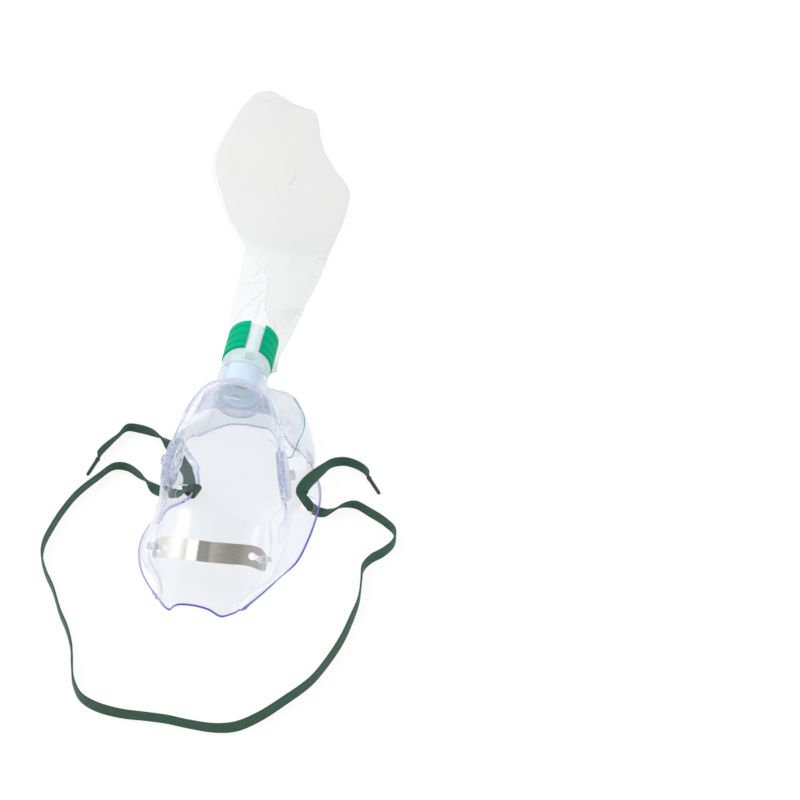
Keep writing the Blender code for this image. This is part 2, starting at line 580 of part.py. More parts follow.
def make_flap(look):
    """The one-way flap on the mask side of the spider."""
    _, shoulder, _, _ = connector_sections()
    top = shoulder + FLAP_SEAT_DEPTH - GAP
    hole = SPIDER_PIN_RADIUS + GAP
    profile = ((hole, top - FLAP_THICKNESS), (FLAP_RADIUS, top - FLAP_THICKNESS), (FLAP_RADIUS, top), (hole, top))
    flap = turned(revolved("check_valve_flap", profile, 28), Matrix.Translation((0, 0, PORT_HEIGHT)))
    return new_object("check_valve_flap", flap, look, ROOT_EMPTY)


def collar_span():
    """Where the collar starts and ends along Y."""
    _, _, neck, _ = connector_sections()
    return neck + GAP, neck + GAP + COLLAR_LENGTH


def make_collar(look):
    """The green split band round the bag's neck, with its grooves, open where the inlet tube lies."""
    start, end = collar_span()
    inner = NECK_RADIUS + GAP + FILM + GAP
    outer = inner + COLLAR_WALL
    profile = [(inner, start), (outer - 0.3 * MM, start), (outer, start + 0.4 * MM)]
    for i in range(COLLAR_GROOVES):
        middle = start + COLLAR_LENGTH * (i + 0.75) / (COLLAR_GROOVES + 0.5)
        for offset, depth in ((-0.5, 0), (-0.3, 1), (0.3, 1), (0.5, 0)):
            profile.append((outer - depth * COLLAR_GROOVE_DEPTH, middle + offset * COLLAR_GROOVE_WIDTH))
    profile += [(outer, end - 0.4 * MM), (outer - 0.3 * MM, end), (inner, end)]
    half_slot = math.degrees(math.asin(COLLAR_SLOT_WIDTH / 2 / outer))
    band = revolved("bag_collar", profile, 44, INLET_TURN_DEG + half_slot, 360 - 2 * half_slot)
    return new_object("bag_collar", turned(band, Matrix.Translation((0, 0, PORT_HEIGHT))), look, ROOT_EMPTY)


def bag_rings(weld, film):
    """Rings of the bag from its clamped neck to the far weld, drawn this far inside the outer face."""
    start, end = collar_span()
    radius = NECK_RADIUS + GAP + FILM
    neck = (start, (start + end) / 2, end - 1.4 * MM, end + 1.4 * MM)
    rows = [((-radius, y, PORT_HEIGHT), (radius, y, PORT_HEIGHT), radius) for y in neck]
    rows += [(np.array(a) * MM, np.array(b) * MM, half * MM) for a, b, half in BAG_STATIONS]
    left, right = (np.array([row[i] for row in rows], float) for i in (0, 1))
    thick = np.array([row[2] for row in rows]) - film
    middle, half = (left + right) / 2, (right - left) / 2
    along = np.gradient(middle, axis=0)
    up = np.cross(half, along)
    up /= np.linalg.norm(up, axis=1, keepdims=True)
    width = np.linalg.norm(half, axis=1)
    margin = np.interp(np.arange(len(rows)), (0, 4, 7), (film, film, weld))
    half = half * ((width - margin) / width)[:, None]
    rings = []
    for i in range(len(rows)):
        pinch = float(np.interp(i, (4, 8), (1, 1.5)))
        ring = []
        for k in range(2 * BAG_HALF_SIDES):
            a = math.pi * k / BAG_HALF_SIDES
            rise = math.copysign(abs(math.sin(a)) ** pinch, math.sin(a))
            ring.append(middle[i] + half[i] * math.cos(a) + up[i] * max(thick[i], 0.2 * MM) * rise)
        rings.append(ring)
    return np.array(rings)


def make_bag(look):
    """The reservoir bag: two films welded round the edge, open only at the neck."""
    refined = []
    for weld, film in ((0.0, 0.0), (BAG_WELD, FILM)):
        rings = bag_rings(weld, film)
        refined.append(np.array([smooth(rings[:, i], 2) for i in range(rings.shape[1])]).swapaxes(0, 1))
    outside, inside = refined[0], refined[1][:-3]
    count, size = outside.shape[:2]
    points = np.vstack([outside.reshape(-1, 3), inside.reshape(-1, 3)])
    shift = count * size
    faces = []
    for i in range(count - 1):
        for j in range(size):
            k = (j + 1) % size
            faces.append((i * size + j, i * size + k, (i + 1) * size + k, (i + 1) * size + j))
            if i < len(inside) - 1:
                a, b = shift + i * size, shift + (i + 1) * size
                faces.append((a + j, b + j, b + k, a + k))
    for j in range(size):
        k = (j + 1) % size
        faces.append((j, shift + j, shift + k, k))
    faces.append(tuple(range((count - 1) * size, count * size)))
    faces.append(tuple(range(shift + (len(inside) - 1) * size, shift + len(inside) * size)))
    return new_object("reservoir_bag", mesh_of("reservoir_bag", points, faces), look, ROOT_EMPTY)


def strap_widths(points):
    """The direction of the strap's width at each guide point of its route."""
    ahead = np.gradient(points, axis=0)
    widths = []
    for (_, _, _, roll), way in zip(STRAP_ROUTE, ahead):
        if roll is None:
            width = widths[-1]
        else:
            side = np.cross(way, (0, 0, 1))
            side /= np.linalg.norm(side)
            up = np.cross(side, way / np.linalg.norm(way))
            width = side * math.cos(math.radians(roll)) + up * math.sin(math.radians(roll))
            if widths and width @ widths[-1] < 0:
                width = -width
        widths.append(width)
    return np.array(widths)


def strap_frames():
    """Points of the strap's middle line, with its direction, its width and its face at each."""
    guides = np.array([row[:3] for row in STRAP_ROUTE], float)
    route = smooth(np.hstack([guides, strap_widths(guides)]), STRAP_STEPS)
    points, width = route[:, :3] * MM, route[:, 3:]
    forward = np.gradient(points, axis=0)
    forward /= np.linalg.norm(forward, axis=1, keepdims=True)
    width -= (width * forward).sum(axis=1, keepdims=True) * forward
    width /= np.linalg.norm(width, axis=1, keepdims=True)
    return points, forward, width, np.cross(width, forward)


def make_strap(look):
    """The flat elastic head strap, one ribbon from tip to tip through both ears."""
    points, _, width, face = strap_frames()
    rings = [
        [
            p + w * a * STRAP_WIDTH / 2 + f * b * STRAP_THICKNESS / 2
            for a, b in ((-1, -1), (1, -1), (1, 1), (-1, 1))
        ]
        for p, w, f in zip(points, width, face)
    ]
    for ring in rings:
        lift = max(0.0, STRAP_CLEARANCE - min(corner[2] for corner in ring))
        for corner in ring:
            corner[2] += lift
    return new_object("head_strap", rings_mesh("head_strap", rings), look, ROOT_EMPTY)


def make_tip(name, end, look):
    """The hard round tip crimped on one end of the strap, lying on the table."""
    points, forward, _, _ = strap_frames()
    point, way = (points[0], -forward[0]) if end == 0 else (points[-1], forward[-1])
    way = Vector((way[0], way[1], 0)).normalized()
    start = Vector(point) + way * GAP
    start.z = TIP_RADIUS + GAP
    tip = rod(name, TIP_RADIUS, TIP_LENGTH, 12, 0.9 * TIP_RADIUS)
    return new_object(name, turned(tip, facing(start, tuple(way), (0, 0, 1))), look, ROOT_EMPTY)


def clear_scene():
    """Removes every object of the start-up scene."""
    for piece in list(bpy.data.objects):
        bpy.data.objects.remove(piece, do_unlink=True)


def frame_empty():
    """The empty that carries every piece and puts the object's middle at the world origin."""
    left = min(station[0][0] for station in BAG_STATIONS) * MM
    far = max(station[0][1] for station in BAG_STATIONS) * MM
    right = RIM[5][0] / 100 * SHELL_HALF_WIDTH
    empty = bpy.data.objects.new("mask_frame", None)
    empty.location = (-(left + right) / 2, -far / 2, 0)
    bpy.context.scene.collection.objects.link(empty)
    return empty


clear_scene()
ROOT_EMPTY = frame_empty()

PVC = material("clear_soft_pvc", (0.80, 0.83, 0.92), 0.12, alpha=0.45, transmission=0.6)
SILICONE = material("frosted_silicone", (0.82, 0.85, 0.90), 0.4, alpha=0.6)
ALUMINIUM = material("soft_aluminium", (0.66, 0.65, 0.62), 0.35, metallic=1.0)
MILKY = material("milky_polypropylene", (0.78, 0.86, 0.84), 0.3, alpha=0.8)
GREEN = material("green_polypropylene", (0.0, 0.50, 0.30), 0.35)
FILM_LOOK = material("translucent_film", (0.88, 0.89, 0.89), 0.3, alpha=0.7)
ELASTIC = material("dark_green_elastic", (0.035, 0.11, 0.06), 0.85)
TIP_LOOK = material("heat_shrunk_tip", (0.02, 0.035, 0.03), 0.4)

make_shell(PVC)
make_strip(ALUMINIUM)
make_disc("exhale_disc_left", -1, SILICONE)
make_disc("exhale_disc_right", 1, SILICONE)
make_connector(MILKY)
make_flap(SILICONE)
make_collar(GREEN)
make_bag(FILM_LOOK)
make_strap(ELASTIC)
make_tip("strap_tip_left", 0, TIP_LOOK)
make_tip("strap_tip_right", 1, TIP_LOOK)
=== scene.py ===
"""Dresses a high-concentration oxygen mask, with its reservoir bag and head strap, for a studio photograph.

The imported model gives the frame. Each sub-assembly is a class that draws its own meshes in the mask's
frame, in millimetres, with the nose notch near Y = 0 and the table at Z = 0, and puts them in the world.
"""

from __future__ import annotations

import json
import logging
import math
from collections.abc import Iterable, Sequence
from dataclasses import dataclass, field
from enum import Enum

import bmesh
import bpy
import numpy as np
from mathutils import Matrix, Vector, noise
from mathutils.bvhtree import BVHTree

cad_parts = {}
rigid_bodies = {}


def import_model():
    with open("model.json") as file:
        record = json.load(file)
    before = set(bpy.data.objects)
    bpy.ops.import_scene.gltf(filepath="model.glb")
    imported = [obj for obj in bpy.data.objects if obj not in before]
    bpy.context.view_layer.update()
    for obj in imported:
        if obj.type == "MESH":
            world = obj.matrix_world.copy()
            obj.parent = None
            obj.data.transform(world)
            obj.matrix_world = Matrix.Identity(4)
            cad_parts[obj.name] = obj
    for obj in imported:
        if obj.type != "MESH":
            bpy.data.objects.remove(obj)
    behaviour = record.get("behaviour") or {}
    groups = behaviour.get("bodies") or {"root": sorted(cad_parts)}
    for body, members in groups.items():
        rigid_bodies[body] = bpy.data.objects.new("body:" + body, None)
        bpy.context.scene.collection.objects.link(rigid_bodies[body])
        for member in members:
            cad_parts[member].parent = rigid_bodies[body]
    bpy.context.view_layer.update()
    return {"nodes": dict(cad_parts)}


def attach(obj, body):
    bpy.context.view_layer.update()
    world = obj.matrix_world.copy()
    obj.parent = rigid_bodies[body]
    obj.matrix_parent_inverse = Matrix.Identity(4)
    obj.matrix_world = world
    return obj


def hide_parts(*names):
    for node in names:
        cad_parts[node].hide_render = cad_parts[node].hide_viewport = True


LOG = logging.getLogger("oxygen_mask")

MM = 0.001
MASK_ORIGIN = np.array((7.4712, -208.5, 0.0))

SHARP_FROM_DEG = 35.0

Point = tuple[float, float, float]
Colour = tuple[float, float, float, float]
Profile = Sequence[tuple[float, float]]
Face = tuple[int, ...]
Settings = dict[str | int, object]
Links = dict[str | int, bpy.types.NodeSocket]


class Side(Enum):
    """A side of the mask as the photograph shows it: left is -X."""

    LEFT = -1
    RIGHT = 1


class Join(Enum):
    """How two closed bodies are joined into one."""

    ADD = "UNION"
    CUT = "DIFFERENCE"


def linear(code: str) -> Colour:
    """Turns an sRGB hex colour into linear RGBA.

    Args:
        code: The colour as "#rrggbb".

    Returns:
        The linear red, green and blue, with an alpha of 1.
    """
    parts = [int(code[i : i + 2], 16) / 255 for i in (1, 3, 5)]
    red, green, blue = (c / 12.92 if c <= 0.04045 else ((c + 0.055) / 1.055) ** 2.4 for c in parts)
    return red, green, blue, 1.0


def add_node(
    tree: bpy.types.NodeTree, kind: str, settings: Settings | None = None, links: Links | None = None
) -> bpy.types.Node:
    """Adds one shader node.

    Args:
        tree: The node tree that gets it.
        kind: The node's type.
        settings: Values of its input sockets, by name or number, and of its own properties.
        links: The output sockets that feed its inputs, by name or number.

    Returns:
        The new node.
    """
    made = tree.nodes.new(kind)
    for key, value in (settings or {}).items():
        if isinstance(key, str) and key not in made.inputs:
            setattr(made, key, value)
        else:
            made.inputs[key].default_value = value
    for key, source in (links or {}).items():
        tree.links.new(source, made.inputs[key])
    return made


def new_tree(name: str) -> tuple[bpy.types.Material, bpy.types.NodeTree, bpy.types.Node]:
    """Makes an empty material.

    Args:
        name: The material's name.

    Returns:
        The material, its node tree and its output node.
    """
    made = bpy.data.materials.new(name)
    made.use_nodes = True
    made.node_tree.nodes.clear()
    return made, made.node_tree, add_node(made.node_tree, "ShaderNodeOutputMaterial")


def surfaced(
    made: bpy.types.Material, out: bpy.types.Node, settings: Settings, links: Links | None = None
) -> bpy.types.Material:
    """Closes a material with a principled surface.

    Args:
        made: The material.
        out: Its output node.
        settings: Values of the surface's inputs.
        links: The output sockets that feed the other inputs.

    Returns:
        The same material.
    """
    shader = add_node(made.node_tree, "ShaderNodeBsdfPrincipled", settings, links)
    made.node_tree.links.new(shader.outputs["BSDF"], out.inputs["Surface"])
    return made


def grain_relief(
    tree: bpy.types.NodeTree,
    grain_mm: float,
    strength: float,
    depth_mm: float,
    texture: Settings | None = None,
) -> bpy.types.NodeSocket:
    """Turns noise in the object's own space into relief.

    Args:
        tree: The node tree that gets it.
        grain_mm: The size of its grain.
        strength: How much of the relief shows, from 0 to 1.
        depth_mm: Its depth.
        texture: Further values of the noise.

    Returns:
        The relief's normal.
    """
    place = add_node(tree, "ShaderNodeTexCoord")
    settings = {"Scale": 1 / (grain_mm * MM), **(texture or {})}
    grain = add_node(tree, "ShaderNodeTexNoise", settings, {"Vector": place.outputs["Object"]})
    depth = {"Strength": strength, "Distance": depth_mm * MM}
    return add_node(tree, "ShaderNodeBump", depth, {"Height": grain.outputs["Fac"]}).outputs["Normal"]


def any_ray(tree: bpy.types.NodeTree, kinds: Sequence[str]) -> bpy.types.NodeSocket:
    """One for rays of any of these kinds, and nought for the others."""
    ray = add_node(tree, "ShaderNodeLightPath")
    found = ray.outputs[kinds[0]]
    for kind in kinds[1:]:
        both = {0: found, 1: ray.outputs[kind]}
        found = add_node(tree, "ShaderNodeMath", {"operation": "MAXIMUM"}, both).outputs[0]
    return found


# Finishes


@dataclass(frozen=True)
class ClearPvc:
    """Plasticised PVC, injection moulded: clear, with a faint violet-blue toner.

    The toner gives every edge and every steep wall a blue line, because light runs along the wall there. A
    face seen square on stays clear.
    """

    name: str = "clear_plasticised_pvc"
    colour: str = "#f1f3f5"
    guided: str = "#e0e4f1"
    shadow_tint: str = "#f3f4fb"
    ior: float = 1.53
    roughness: float = 0.03
    toner: str = "#5f6be0"
    toner_density: float = 11.0
    flow_mm: float = 16.0
    flow_strength: float = 0.35
    flow_depth_mm: float = 0.25
    trapped_after: tuple[tuple[str, float], ...] = (("Transmission Depth", 6.5), ("Glossy Depth", 1.5))

    def build(self) -> bpy.types.Material:
        """Makes the material: glass-like PVC with an absorbing toner and flow ripples.

        It lets the lamps' light through. Light that the wall has trapped leaves it with the guided colour.
        """
        made, tree, out = new_tree(self.name)
        flow = {"Detail": 2.0, "Roughness": 0.4}
        ripple = grain_relief(tree, self.flow_mm, self.flow_strength, self.flow_depth_mm, flow)
        shader = add_node(
            tree,
            "ShaderNodeBsdfPrincipled",
            {
                "Base Color": linear(self.colour),
                "Roughness": self.roughness,
                "IOR": self.ior,
                "Transmission Weight": 1.0,
            },
            {"Normal": ripple},
        )
        lets_light = add_node(tree, "ShaderNodeBsdfTransparent", {"Color": linear(self.shadow_tint)})
        ray = add_node(tree, "ShaderNodeLightPath")
        mixed = add_node(
            tree,
            "ShaderNodeMixShader",
            links={0: ray.outputs["Is Shadow Ray"], 1: shader.outputs["BSDF"], 2: lets_light.outputs["BSDF"]},
        )
        over = []
        for depth, most in self.trapped_after:
            test = {"operation": "GREATER_THAN", 1: most}
            over.append(add_node(tree, "ShaderNodeMath", test, {0: ray.outputs[depth]}).outputs[0])
        trapped = add_node(tree, "ShaderNodeMath", {"operation": "MAXIMUM"}, dict(enumerate(over)))
        glow = add_node(tree, "ShaderNodeEmission", {"Color": linear(self.guided), "Strength": 1.0})
        whole = add_node(
            tree,
            "ShaderNodeMixShader",
            links={0: trapped.outputs[0], 1: mixed.outputs["Shader"], 2: glow.outputs["Emission"]},
        )
        absorbed = {"Color": linear(self.toner), "Density": self.toner_density}
        toner = add_node(tree, "ShaderNodeVolumeAbsorption", absorbed)
        tree.links.new(whole.outputs["Shader"], out.inputs["Surface"])
        tree.links.new(toner.outputs["Volume"], out.inputs["Volume"])
        return made


@dataclass(frozen=True)
class GuidedPvcEdge:
    """The rim of the same PVC: the wall's light comes out here, so that the bead glows from every side."""

    name: str = "light_guiding_pvc_edge"
    colour: str = "#3442b8"
    far_colour: str = "#8c98d0"
    ior: float = 1.53
    roughness: float = 0.15
    glow: float = 0.15
    covers: tuple[float, float] = (0.4, 0.8)
    chin_share: float = 0.6
    chin_mm: tuple[float, float] = (-150.0, -115.0)
    left_mm: tuple[float, float] = (-22.0, -4.0)

    def build(self) -> bpy.types.Material:
        """Makes the material: a glossy line that changes colour at the chin and is fainter on the left."""
        made, tree, out = new_tree(self.name)
        place = add_node(tree, "ShaderNodeTexCoord")
        parts = add_node(tree, "ShaderNodeSeparateXYZ", links={0: place.outputs["Object"]})
        to_chin = {"From Min": self.chin_mm[0] * MM, "From Max": self.chin_mm[1] * MM}
        chin = add_node(tree, "ShaderNodeMapRange", to_chin, {"Value": parts.outputs["Y"]}).outputs["Result"]
        to_right = {
            "From Min": self.left_mm[0] * MM,
            "From Max": self.left_mm[1] * MM,
            "To Min": self.covers[0],
            "To Max": self.covers[1],
        }
        cover = add_node(tree, "ShaderNodeMapRange", to_right, {"Value": parts.outputs["X"]})
        shares = {"To Min": 1.0, "To Max": self.chin_share}
        faded = add_node(tree, "ShaderNodeMapRange", shares, {"Value": chin})
        factors = {0: cover.outputs["Result"], 1: faded.outputs["Result"]}
        alpha = add_node(tree, "ShaderNodeMath", {"operation": "MULTIPLY"}, factors)
        pair = {"data_type": "RGBA", 6: linear(self.colour), 7: linear(self.far_colour)}
        hue = add_node(tree, "ShaderNodeMix", pair, {0: chin}).outputs[2]
        return surfaced(
            made,
            out,
            {"Roughness": self.roughness, "IOR": self.ior, "Emission Strength": self.glow},
            {"Base Color": hue, "Emission Color": hue, "Alpha": alpha.outputs[0]},
        )


@dataclass(frozen=True)
class FrostedSilicone:
    """Thin liquid silicone rubber, moulded: milky, with a satin face that scatters what is behind it."""

    name: str = "frosted_silicone_rubber"
    colour: str = "#eef1f6"
    ior: float = 1.41
    roughness: float = 0.38
    cover: float = 0.6

    def build(self) -> bpy.types.Material:
        """Makes the material: a partly see-through satin skin."""
        made, _, out = new_tree(self.name)
        settings = {
            "Base Color": linear(self.colour),
            "Roughness": self.roughness,
            "IOR": self.ior,
            "Alpha": self.cover,
        }
        return surfaced(made, out, settings)


@dataclass(frozen=True)
class RolledAluminium:
    """Soft aluminium sheet, cold rolled and blanked: its lengthwise grain stretches the highlights."""

    name: str = "rolled_soft_aluminium"
    colour: str = "#e8e6e1"
    roughness: float = 0.27
    smoother: float = 0.03
    rougher: float = 0.04
    grain_mm: float = 0.25
    grain_squeeze: float = 0.06
    grain_strength: float = 0.06
    grain_depth_mm: float = 0.02

    def build(self) -> bpy.types.Material:
        """Makes the material: metal with a fine lengthwise grain in its roughness and relief."""
        made, tree, out = new_tree(self.name)
        place = add_node(tree, "ShaderNodeTexCoord")
        along = {"Scale": (self.grain_squeeze, 1.0, 1.0)}
        stretched = add_node(tree, "ShaderNodeMapping", along, {"Vector": place.outputs["Object"]})
        fine = {"Scale": 1 / (self.grain_mm * MM), "Detail": 3.0}
        links = {"Vector": stretched.outputs["Vector"]}
        grain = add_node(tree, "ShaderNodeTexNoise", fine, links).outputs["Fac"]
        limits = {"To Min": self.roughness - self.smoother, "To Max": self.roughness + self.rougher}
        rough = add_node(tree, "ShaderNodeMapRange", limits, {"Value": grain})
        depth = {"Strength": self.grain_strength, "Distance": self.grain_depth_mm * MM}
        relief = add_node(tree, "ShaderNodeBump", depth, {"Height": grain})
        return surfaced(
            made,
            out,
            {"Base Color": linear(self.colour), "Metallic": 1.0},
            {"Roughness": rough.outputs["Result"], "Normal": relief.outputs["Normal"]},
        )


@dataclass(frozen=True)
class Polypropylene:
    """Injection-moulded polypropylene: waxy and slightly see-through; where set, a painted glow in its own
    colour keeps its shaded hollows bright.
    """

    name: str
    colour: str
    ior: float = 1.49
    roughness: float = 0.32
    glow: float = 0.25
    scatter_mm: float = 2.0
    clearness: float = 0.0
    gloss: float = 0.5
    lit: float = 0.0
    grain_mm: float = 0.9
    grain_strength: float = 0.15
    grain_depth_mm: float = 0.03

    def build(self) -> bpy.types.Material:
        """Makes the material: light enters, scatters and leaves again, under a soft gloss, and an emission in
        its own colour adds a painted glow.
        """
        made, tree, out = new_tree(self.name)
        relief = grain_relief(tree, self.grain_mm, self.grain_strength, self.grain_depth_mm, {"Detail": 3.0})
        settings = {
            "Base Color": linear(self.colour),
            "Roughness": self.roughness,
            "IOR": self.ior,
            "Specular IOR Level": self.gloss,
            # Emission in the body's own colour: a painted glow that lifts its shaded parts.
            "Emission Color": linear(self.colour),
            "Emission Strength": self.lit,
            "Subsurface Weight": self.glow,
            "Subsurface Radius": (1.0, 1.0, 1.0),
            "Subsurface Scale": self.scatter_mm * MM,
            "Alpha": 1 - self.clearness,
        }
        return surfaced(made, out, settings, {"Normal": relief})


@dataclass(frozen=True)
class BlownFilm:
    """Blown low-density polyethylene film: thin, milky, a little glossy, and finely crumpled by folding."""

    name: str = "blown_polyethylene_film"
    colour: str = "#ebebea"
    cover: float = 0.5
    ior: float = 1.51
    roughness: float = 0.33
    crumple_mm: float = 9.0
    crumple_strength: float = 0.3
    crumple_depth_mm: float = 0.5

    def build(self) -> bpy.types.Material:
        """Makes the material: a pale see-through skin with faint crumples."""
        made, tree, out = new_tree(self.name)
        texture = {"Detail": 3.0, "Distortion": 0.6}
        relief = grain_relief(tree, self.crumple_mm, self.crumple_strength, self.crumple_depth_mm, texture)
        settings = {
            "Base Color": linear(self.colour),
            "Roughness": self.roughness,
            "IOR": self.ior,
            "Alpha": self.cover,
        }
        return surfaced(made, out, settings, {"Normal": relief})


@dataclass(frozen=True)
class BraidedElastic:
    """Braided elastic, polyester over rubber cords: fine lengthwise ribs and a matt, slightly fuzzy face."""

    name: str = "braided_green_elastic"
    light: str = "#37684f"
    dark: str = "#133a2a"
    roughness: float = 0.85
    fuzz: float = 0.25
    stitch_mm: float = 0.9
    stitch_strength: float = 0.5
    stitch_depth_mm: float = 0.12

    def build(self) -> bpy.types.Material:
        """Makes the material: two greens in a fine braid, with a soft sheen."""
        made, tree, out = new_tree(self.name)
        along = add_node(tree, "ShaderNodeUVMap", {"uv_map": "braid"})
        stitches = {
            "wave_type": "BANDS",
            "bands_direction": "DIAGONAL",
            "Scale": 1 / (self.stitch_mm * 2),
            "Distortion": 1.5,
            "Detail": 1.0,
        }
        braid = add_node(tree, "ShaderNodeTexWave", stitches, {"Vector": along.outputs["UV"]}).outputs["Fac"]
        pair = {"data_type": "RGBA", 6: linear(self.dark), 7: linear(self.light)}
        greens = add_node(tree, "ShaderNodeMix", pair, {0: braid})
        depth = {"Strength": self.stitch_strength, "Distance": self.stitch_depth_mm * MM}
        relief = add_node(tree, "ShaderNodeBump", depth, {"Height": braid})
        return surfaced(
            made,
            out,
            {"Roughness": self.roughness, "Sheen Weight": self.fuzz, "Sheen Roughness": 0.5},
            {"Base Color": greens.outputs[2], "Normal": relief.outputs["Normal"]},
        )


@dataclass(frozen=True)
class ShrunkTip:
    """Heat-shrunk nylon over the strap's end: near black-green, hard, with a dull gloss."""

    name: str = "heat_shrunk_nylon"
    colour: str = "#2a3a33"
    roughness: float = 0.42
    wrinkle_mm: float = 0.8
    wrinkle_strength: float = 0.4
    wrinkle_depth_mm: float = 0.1

    def build(self) -> bpy.types.Material:
        """Makes the material: dark plastic with fine shrink wrinkles."""
        made, tree, out = new_tree(self.name)
        relief = grain_relief(tree, self.wrinkle_mm, self.wrinkle_strength, self.wrinkle_depth_mm)
        return surfaced(
            made, out, {"Base Color": linear(self.colour), "Roughness": self.roughness}, {"Normal": relief}
        )


# Drawing


def curve_at(points: np.ndarray, where: np.ndarray) -> np.ndarray:
    """Evaluates one smooth curve through the given points.

    Args:
        points: The points, one to a row.
        where: Places on the curve, where 2.5 is halfway between the third and the fourth point.

    Returns:
        One row for each place.
    """
    p = np.asarray(points, float)
    gap = np.maximum(np.linalg.norm(np.diff(p, axis=0), axis=1), 1e-6) ** 0.5
    chord = np.diff(p, axis=0) / gap[:, None]
    slope = np.empty_like(p)
    weight = (gap[:-1] / (gap[:-1] + gap[1:]))[:, None]
    slope[1:-1] = chord[:-1] * (1 - weight) + chord[1:] * weight
    slope[0] = 1.5 * chord[0] - 0.5 * slope[1]
    slope[-1] = 1.5 * chord[-1] - 0.5 * slope[-2]
    at = np.clip(np.asarray(where, float), 0, len(p) - 1)
    i = np.minimum(at.astype(int), len(p) - 2)
    t = (at - i)[:, None]
    width = gap[i][:, None]
    start = (1 + 2 * t) * (1 - t) ** 2 * p[i] + t * (1 - t) ** 2 * width * slope[i]
    end = t * t * (3 - 2 * t) * p[i + 1] + t * t * (t - 1) * width * slope[i + 1]
    return start + end


def spread(count: int, steps: int) -> np.ndarray:
    """Even places for curve_at, with this many steps between each two of count points."""
    return np.linspace(0, count - 1, (count - 1) * steps + 1)


def grid_faces(rows: int, columns: int, first: int = 0, turned_over: bool = False) -> list[Face]:
    """The quads of a grid of points.

    Args:
        rows: Rows of points.
        columns: Points in a row.
        first: The index of the grid's first point.
        turned_over: Whether the faces look the other way.

    Returns:
        The faces, as indices.
    """
    faces = []
    for i in range(rows - 1):
        for j in range(columns - 1):
            a = first + i * columns + j
            quad = (a, a + 1, a + columns + 1, a + columns)
            faces.append(quad[::-1] if turned_over else quad)
    return faces


def unit(vectors: np.ndarray) -> np.ndarray:
    """The vectors, each scaled to a length of one."""
    return vectors / np.maximum(np.linalg.norm(vectors, axis=-1, keepdims=True), 1e-6)


def mesh_of(
    name: str,
    points: Iterable[Sequence[float]],
    faces: Iterable[Sequence[int]],
    sharp: float = SHARP_FROM_DEG,
) -> bpy.types.Mesh:
    """Makes a mesh from millimetre points, facing outwards.

    Args:
        name: The mesh's name.
        points: Points in the mask's frame, in millimetres.
        faces: Faces, as indices.
        sharp: The angle in degrees above which an edge isn't shaded smooth.

    Returns:
        The mesh, in metres and in the world's frame.
    """
    mesh = bpy.data.meshes.new(name)
    placed = (np.array([tuple(p) for p in points], float) + MASK_ORIGIN) * MM
    mesh.from_pydata([tuple(p) for p in placed], [], [tuple(f) for f in faces])
    work = bmesh.new()
    work.from_mesh(mesh)
    bmesh.ops.recalc_face_normals(work, faces=work.faces)
    work.to_mesh(mesh)
    work.free()
    mesh.shade_smooth()
    mesh.set_sharp_from_angle(angle=math.radians(sharp))
    return mesh


def ring_faces(count: int, size: int, first: int = 0, torus: bool = False) -> list[Face]:
    """The quads between rings of points.

    Args:
        count: The number of rings.
        size: Points in a ring.
        first: The index of the first ring's first point.
        torus: Whether the last ring is followed by the first one.

    Returns:
        The faces, as indices.
    """
    faces = []
    for i in range(count if torus else count - 1):
        here, after = first + i * size, first + (i + 1) % count * size
        for j in range(size):
            n = (j + 1) % size
            faces.append((here + j, here + n, after + n, after + j))
    return faces


def rings_mesh(
    name: str, rings: np.ndarray, capped: bool = True, sharp: float = SHARP_FROM_DEG
) -> bpy.types.Mesh:
    """Makes a closed skin over rings of equal length.

    Args:
        name: The mesh's name.
        rings: The rings' points.
        capped: Whether each end gets a flat cap, or else the rings close as a torus.
        sharp: The angle in degrees above which an edge isn't shaded smooth.

    Returns:
        The mesh.
    """
    count, size = rings.shape[:2]
    faces = ring_faces(count, size, torus=not capped)
    if capped:
        faces += [tuple(range(size)), tuple(range((count - 1) * size, count * size))]
    return mesh_of(name, rings.reshape(-1, 3), faces, sharp)


def facing(point: Sequence[float], normal: Sequence[float], along: Sequence[float] = (0, 1, 0)) -> Matrix:
    """The matrix that puts +Z along the normal and +Y near the given direction, at the point."""
    z = Vector(normal).normalized()
    y = Vector(along) - Vector(along).dot(z) * z
    y.normalize()
    return Matrix.Translation(Vector(point)) @ Matrix((y.cross(z), y, z)).transposed().to_4x4()


def lathe(
    profile: Profile, place: Matrix, sides: int = 48, start: float = 0.0, sweep: float = 360.0
) -> np.ndarray:
    """Turns a profile about the +Z axis of a place.

    Args:
        profile: (radius, height) pairs.
        place: The axis's place.
        sides: Sides of a full turn.
        start: Where a part turn starts, in degrees from +Y towards +X.
        sweep: How far it turns, in degrees.

    Returns:
        One ring of points for each profile pair if it is a full turn, and else one profile for each angle.
    """
    whole = sweep >= 360
    steps = sides if whole else max(3, round(sides * sweep / 360))
    angles = np.radians(start + sweep * np.arange(steps if whole else steps + 1) / steps)
    radius, height = np.array(profile, float).T
    level = np.repeat(height[:, None], len(angles), axis=1)
    flat = np.stack([np.outer(radius, np.sin(angles)), np.outer(radius, np.cos(angles)), level], axis=-1)
    if not whole:
        flat = flat.swapaxes(0, 1)
    turn = np.array(place)
    return flat @ turn[:3, :3].T + turn[:3, 3]


def body(name: str, profile: Profile, place: Matrix, sides: int = 48) -> bpy.types.Mesh:
    """A closed solid of revolution whose profile runs outside it from one flat end to the other."""
    return rings_mesh(name, lathe(profile, place, sides))


def tube(name: str, profile: Profile, place: Matrix, sides: int = 64) -> bpy.types.Mesh:
    """A closed ring of revolution from a closed profile."""
    return rings_mesh(name, lathe(profile, place, sides).swapaxes(0, 1), capped=False)


def block(name: str, size: Point, place: Matrix) -> bpy.types.Mesh:
    """A closed box of this size, centred on the place."""
    square = ((-0.5, -0.5), (0.5, -0.5), (0.5, 0.5), (-0.5, 0.5))
    corners = [(x, y, z) for z in (-0.5, 0.5) for x, y in square]
    rings = np.array([place @ Vector(np.array(c) * size) for c in corners]).reshape(2, 4, 3)
    return rings_mesh(name, rings)


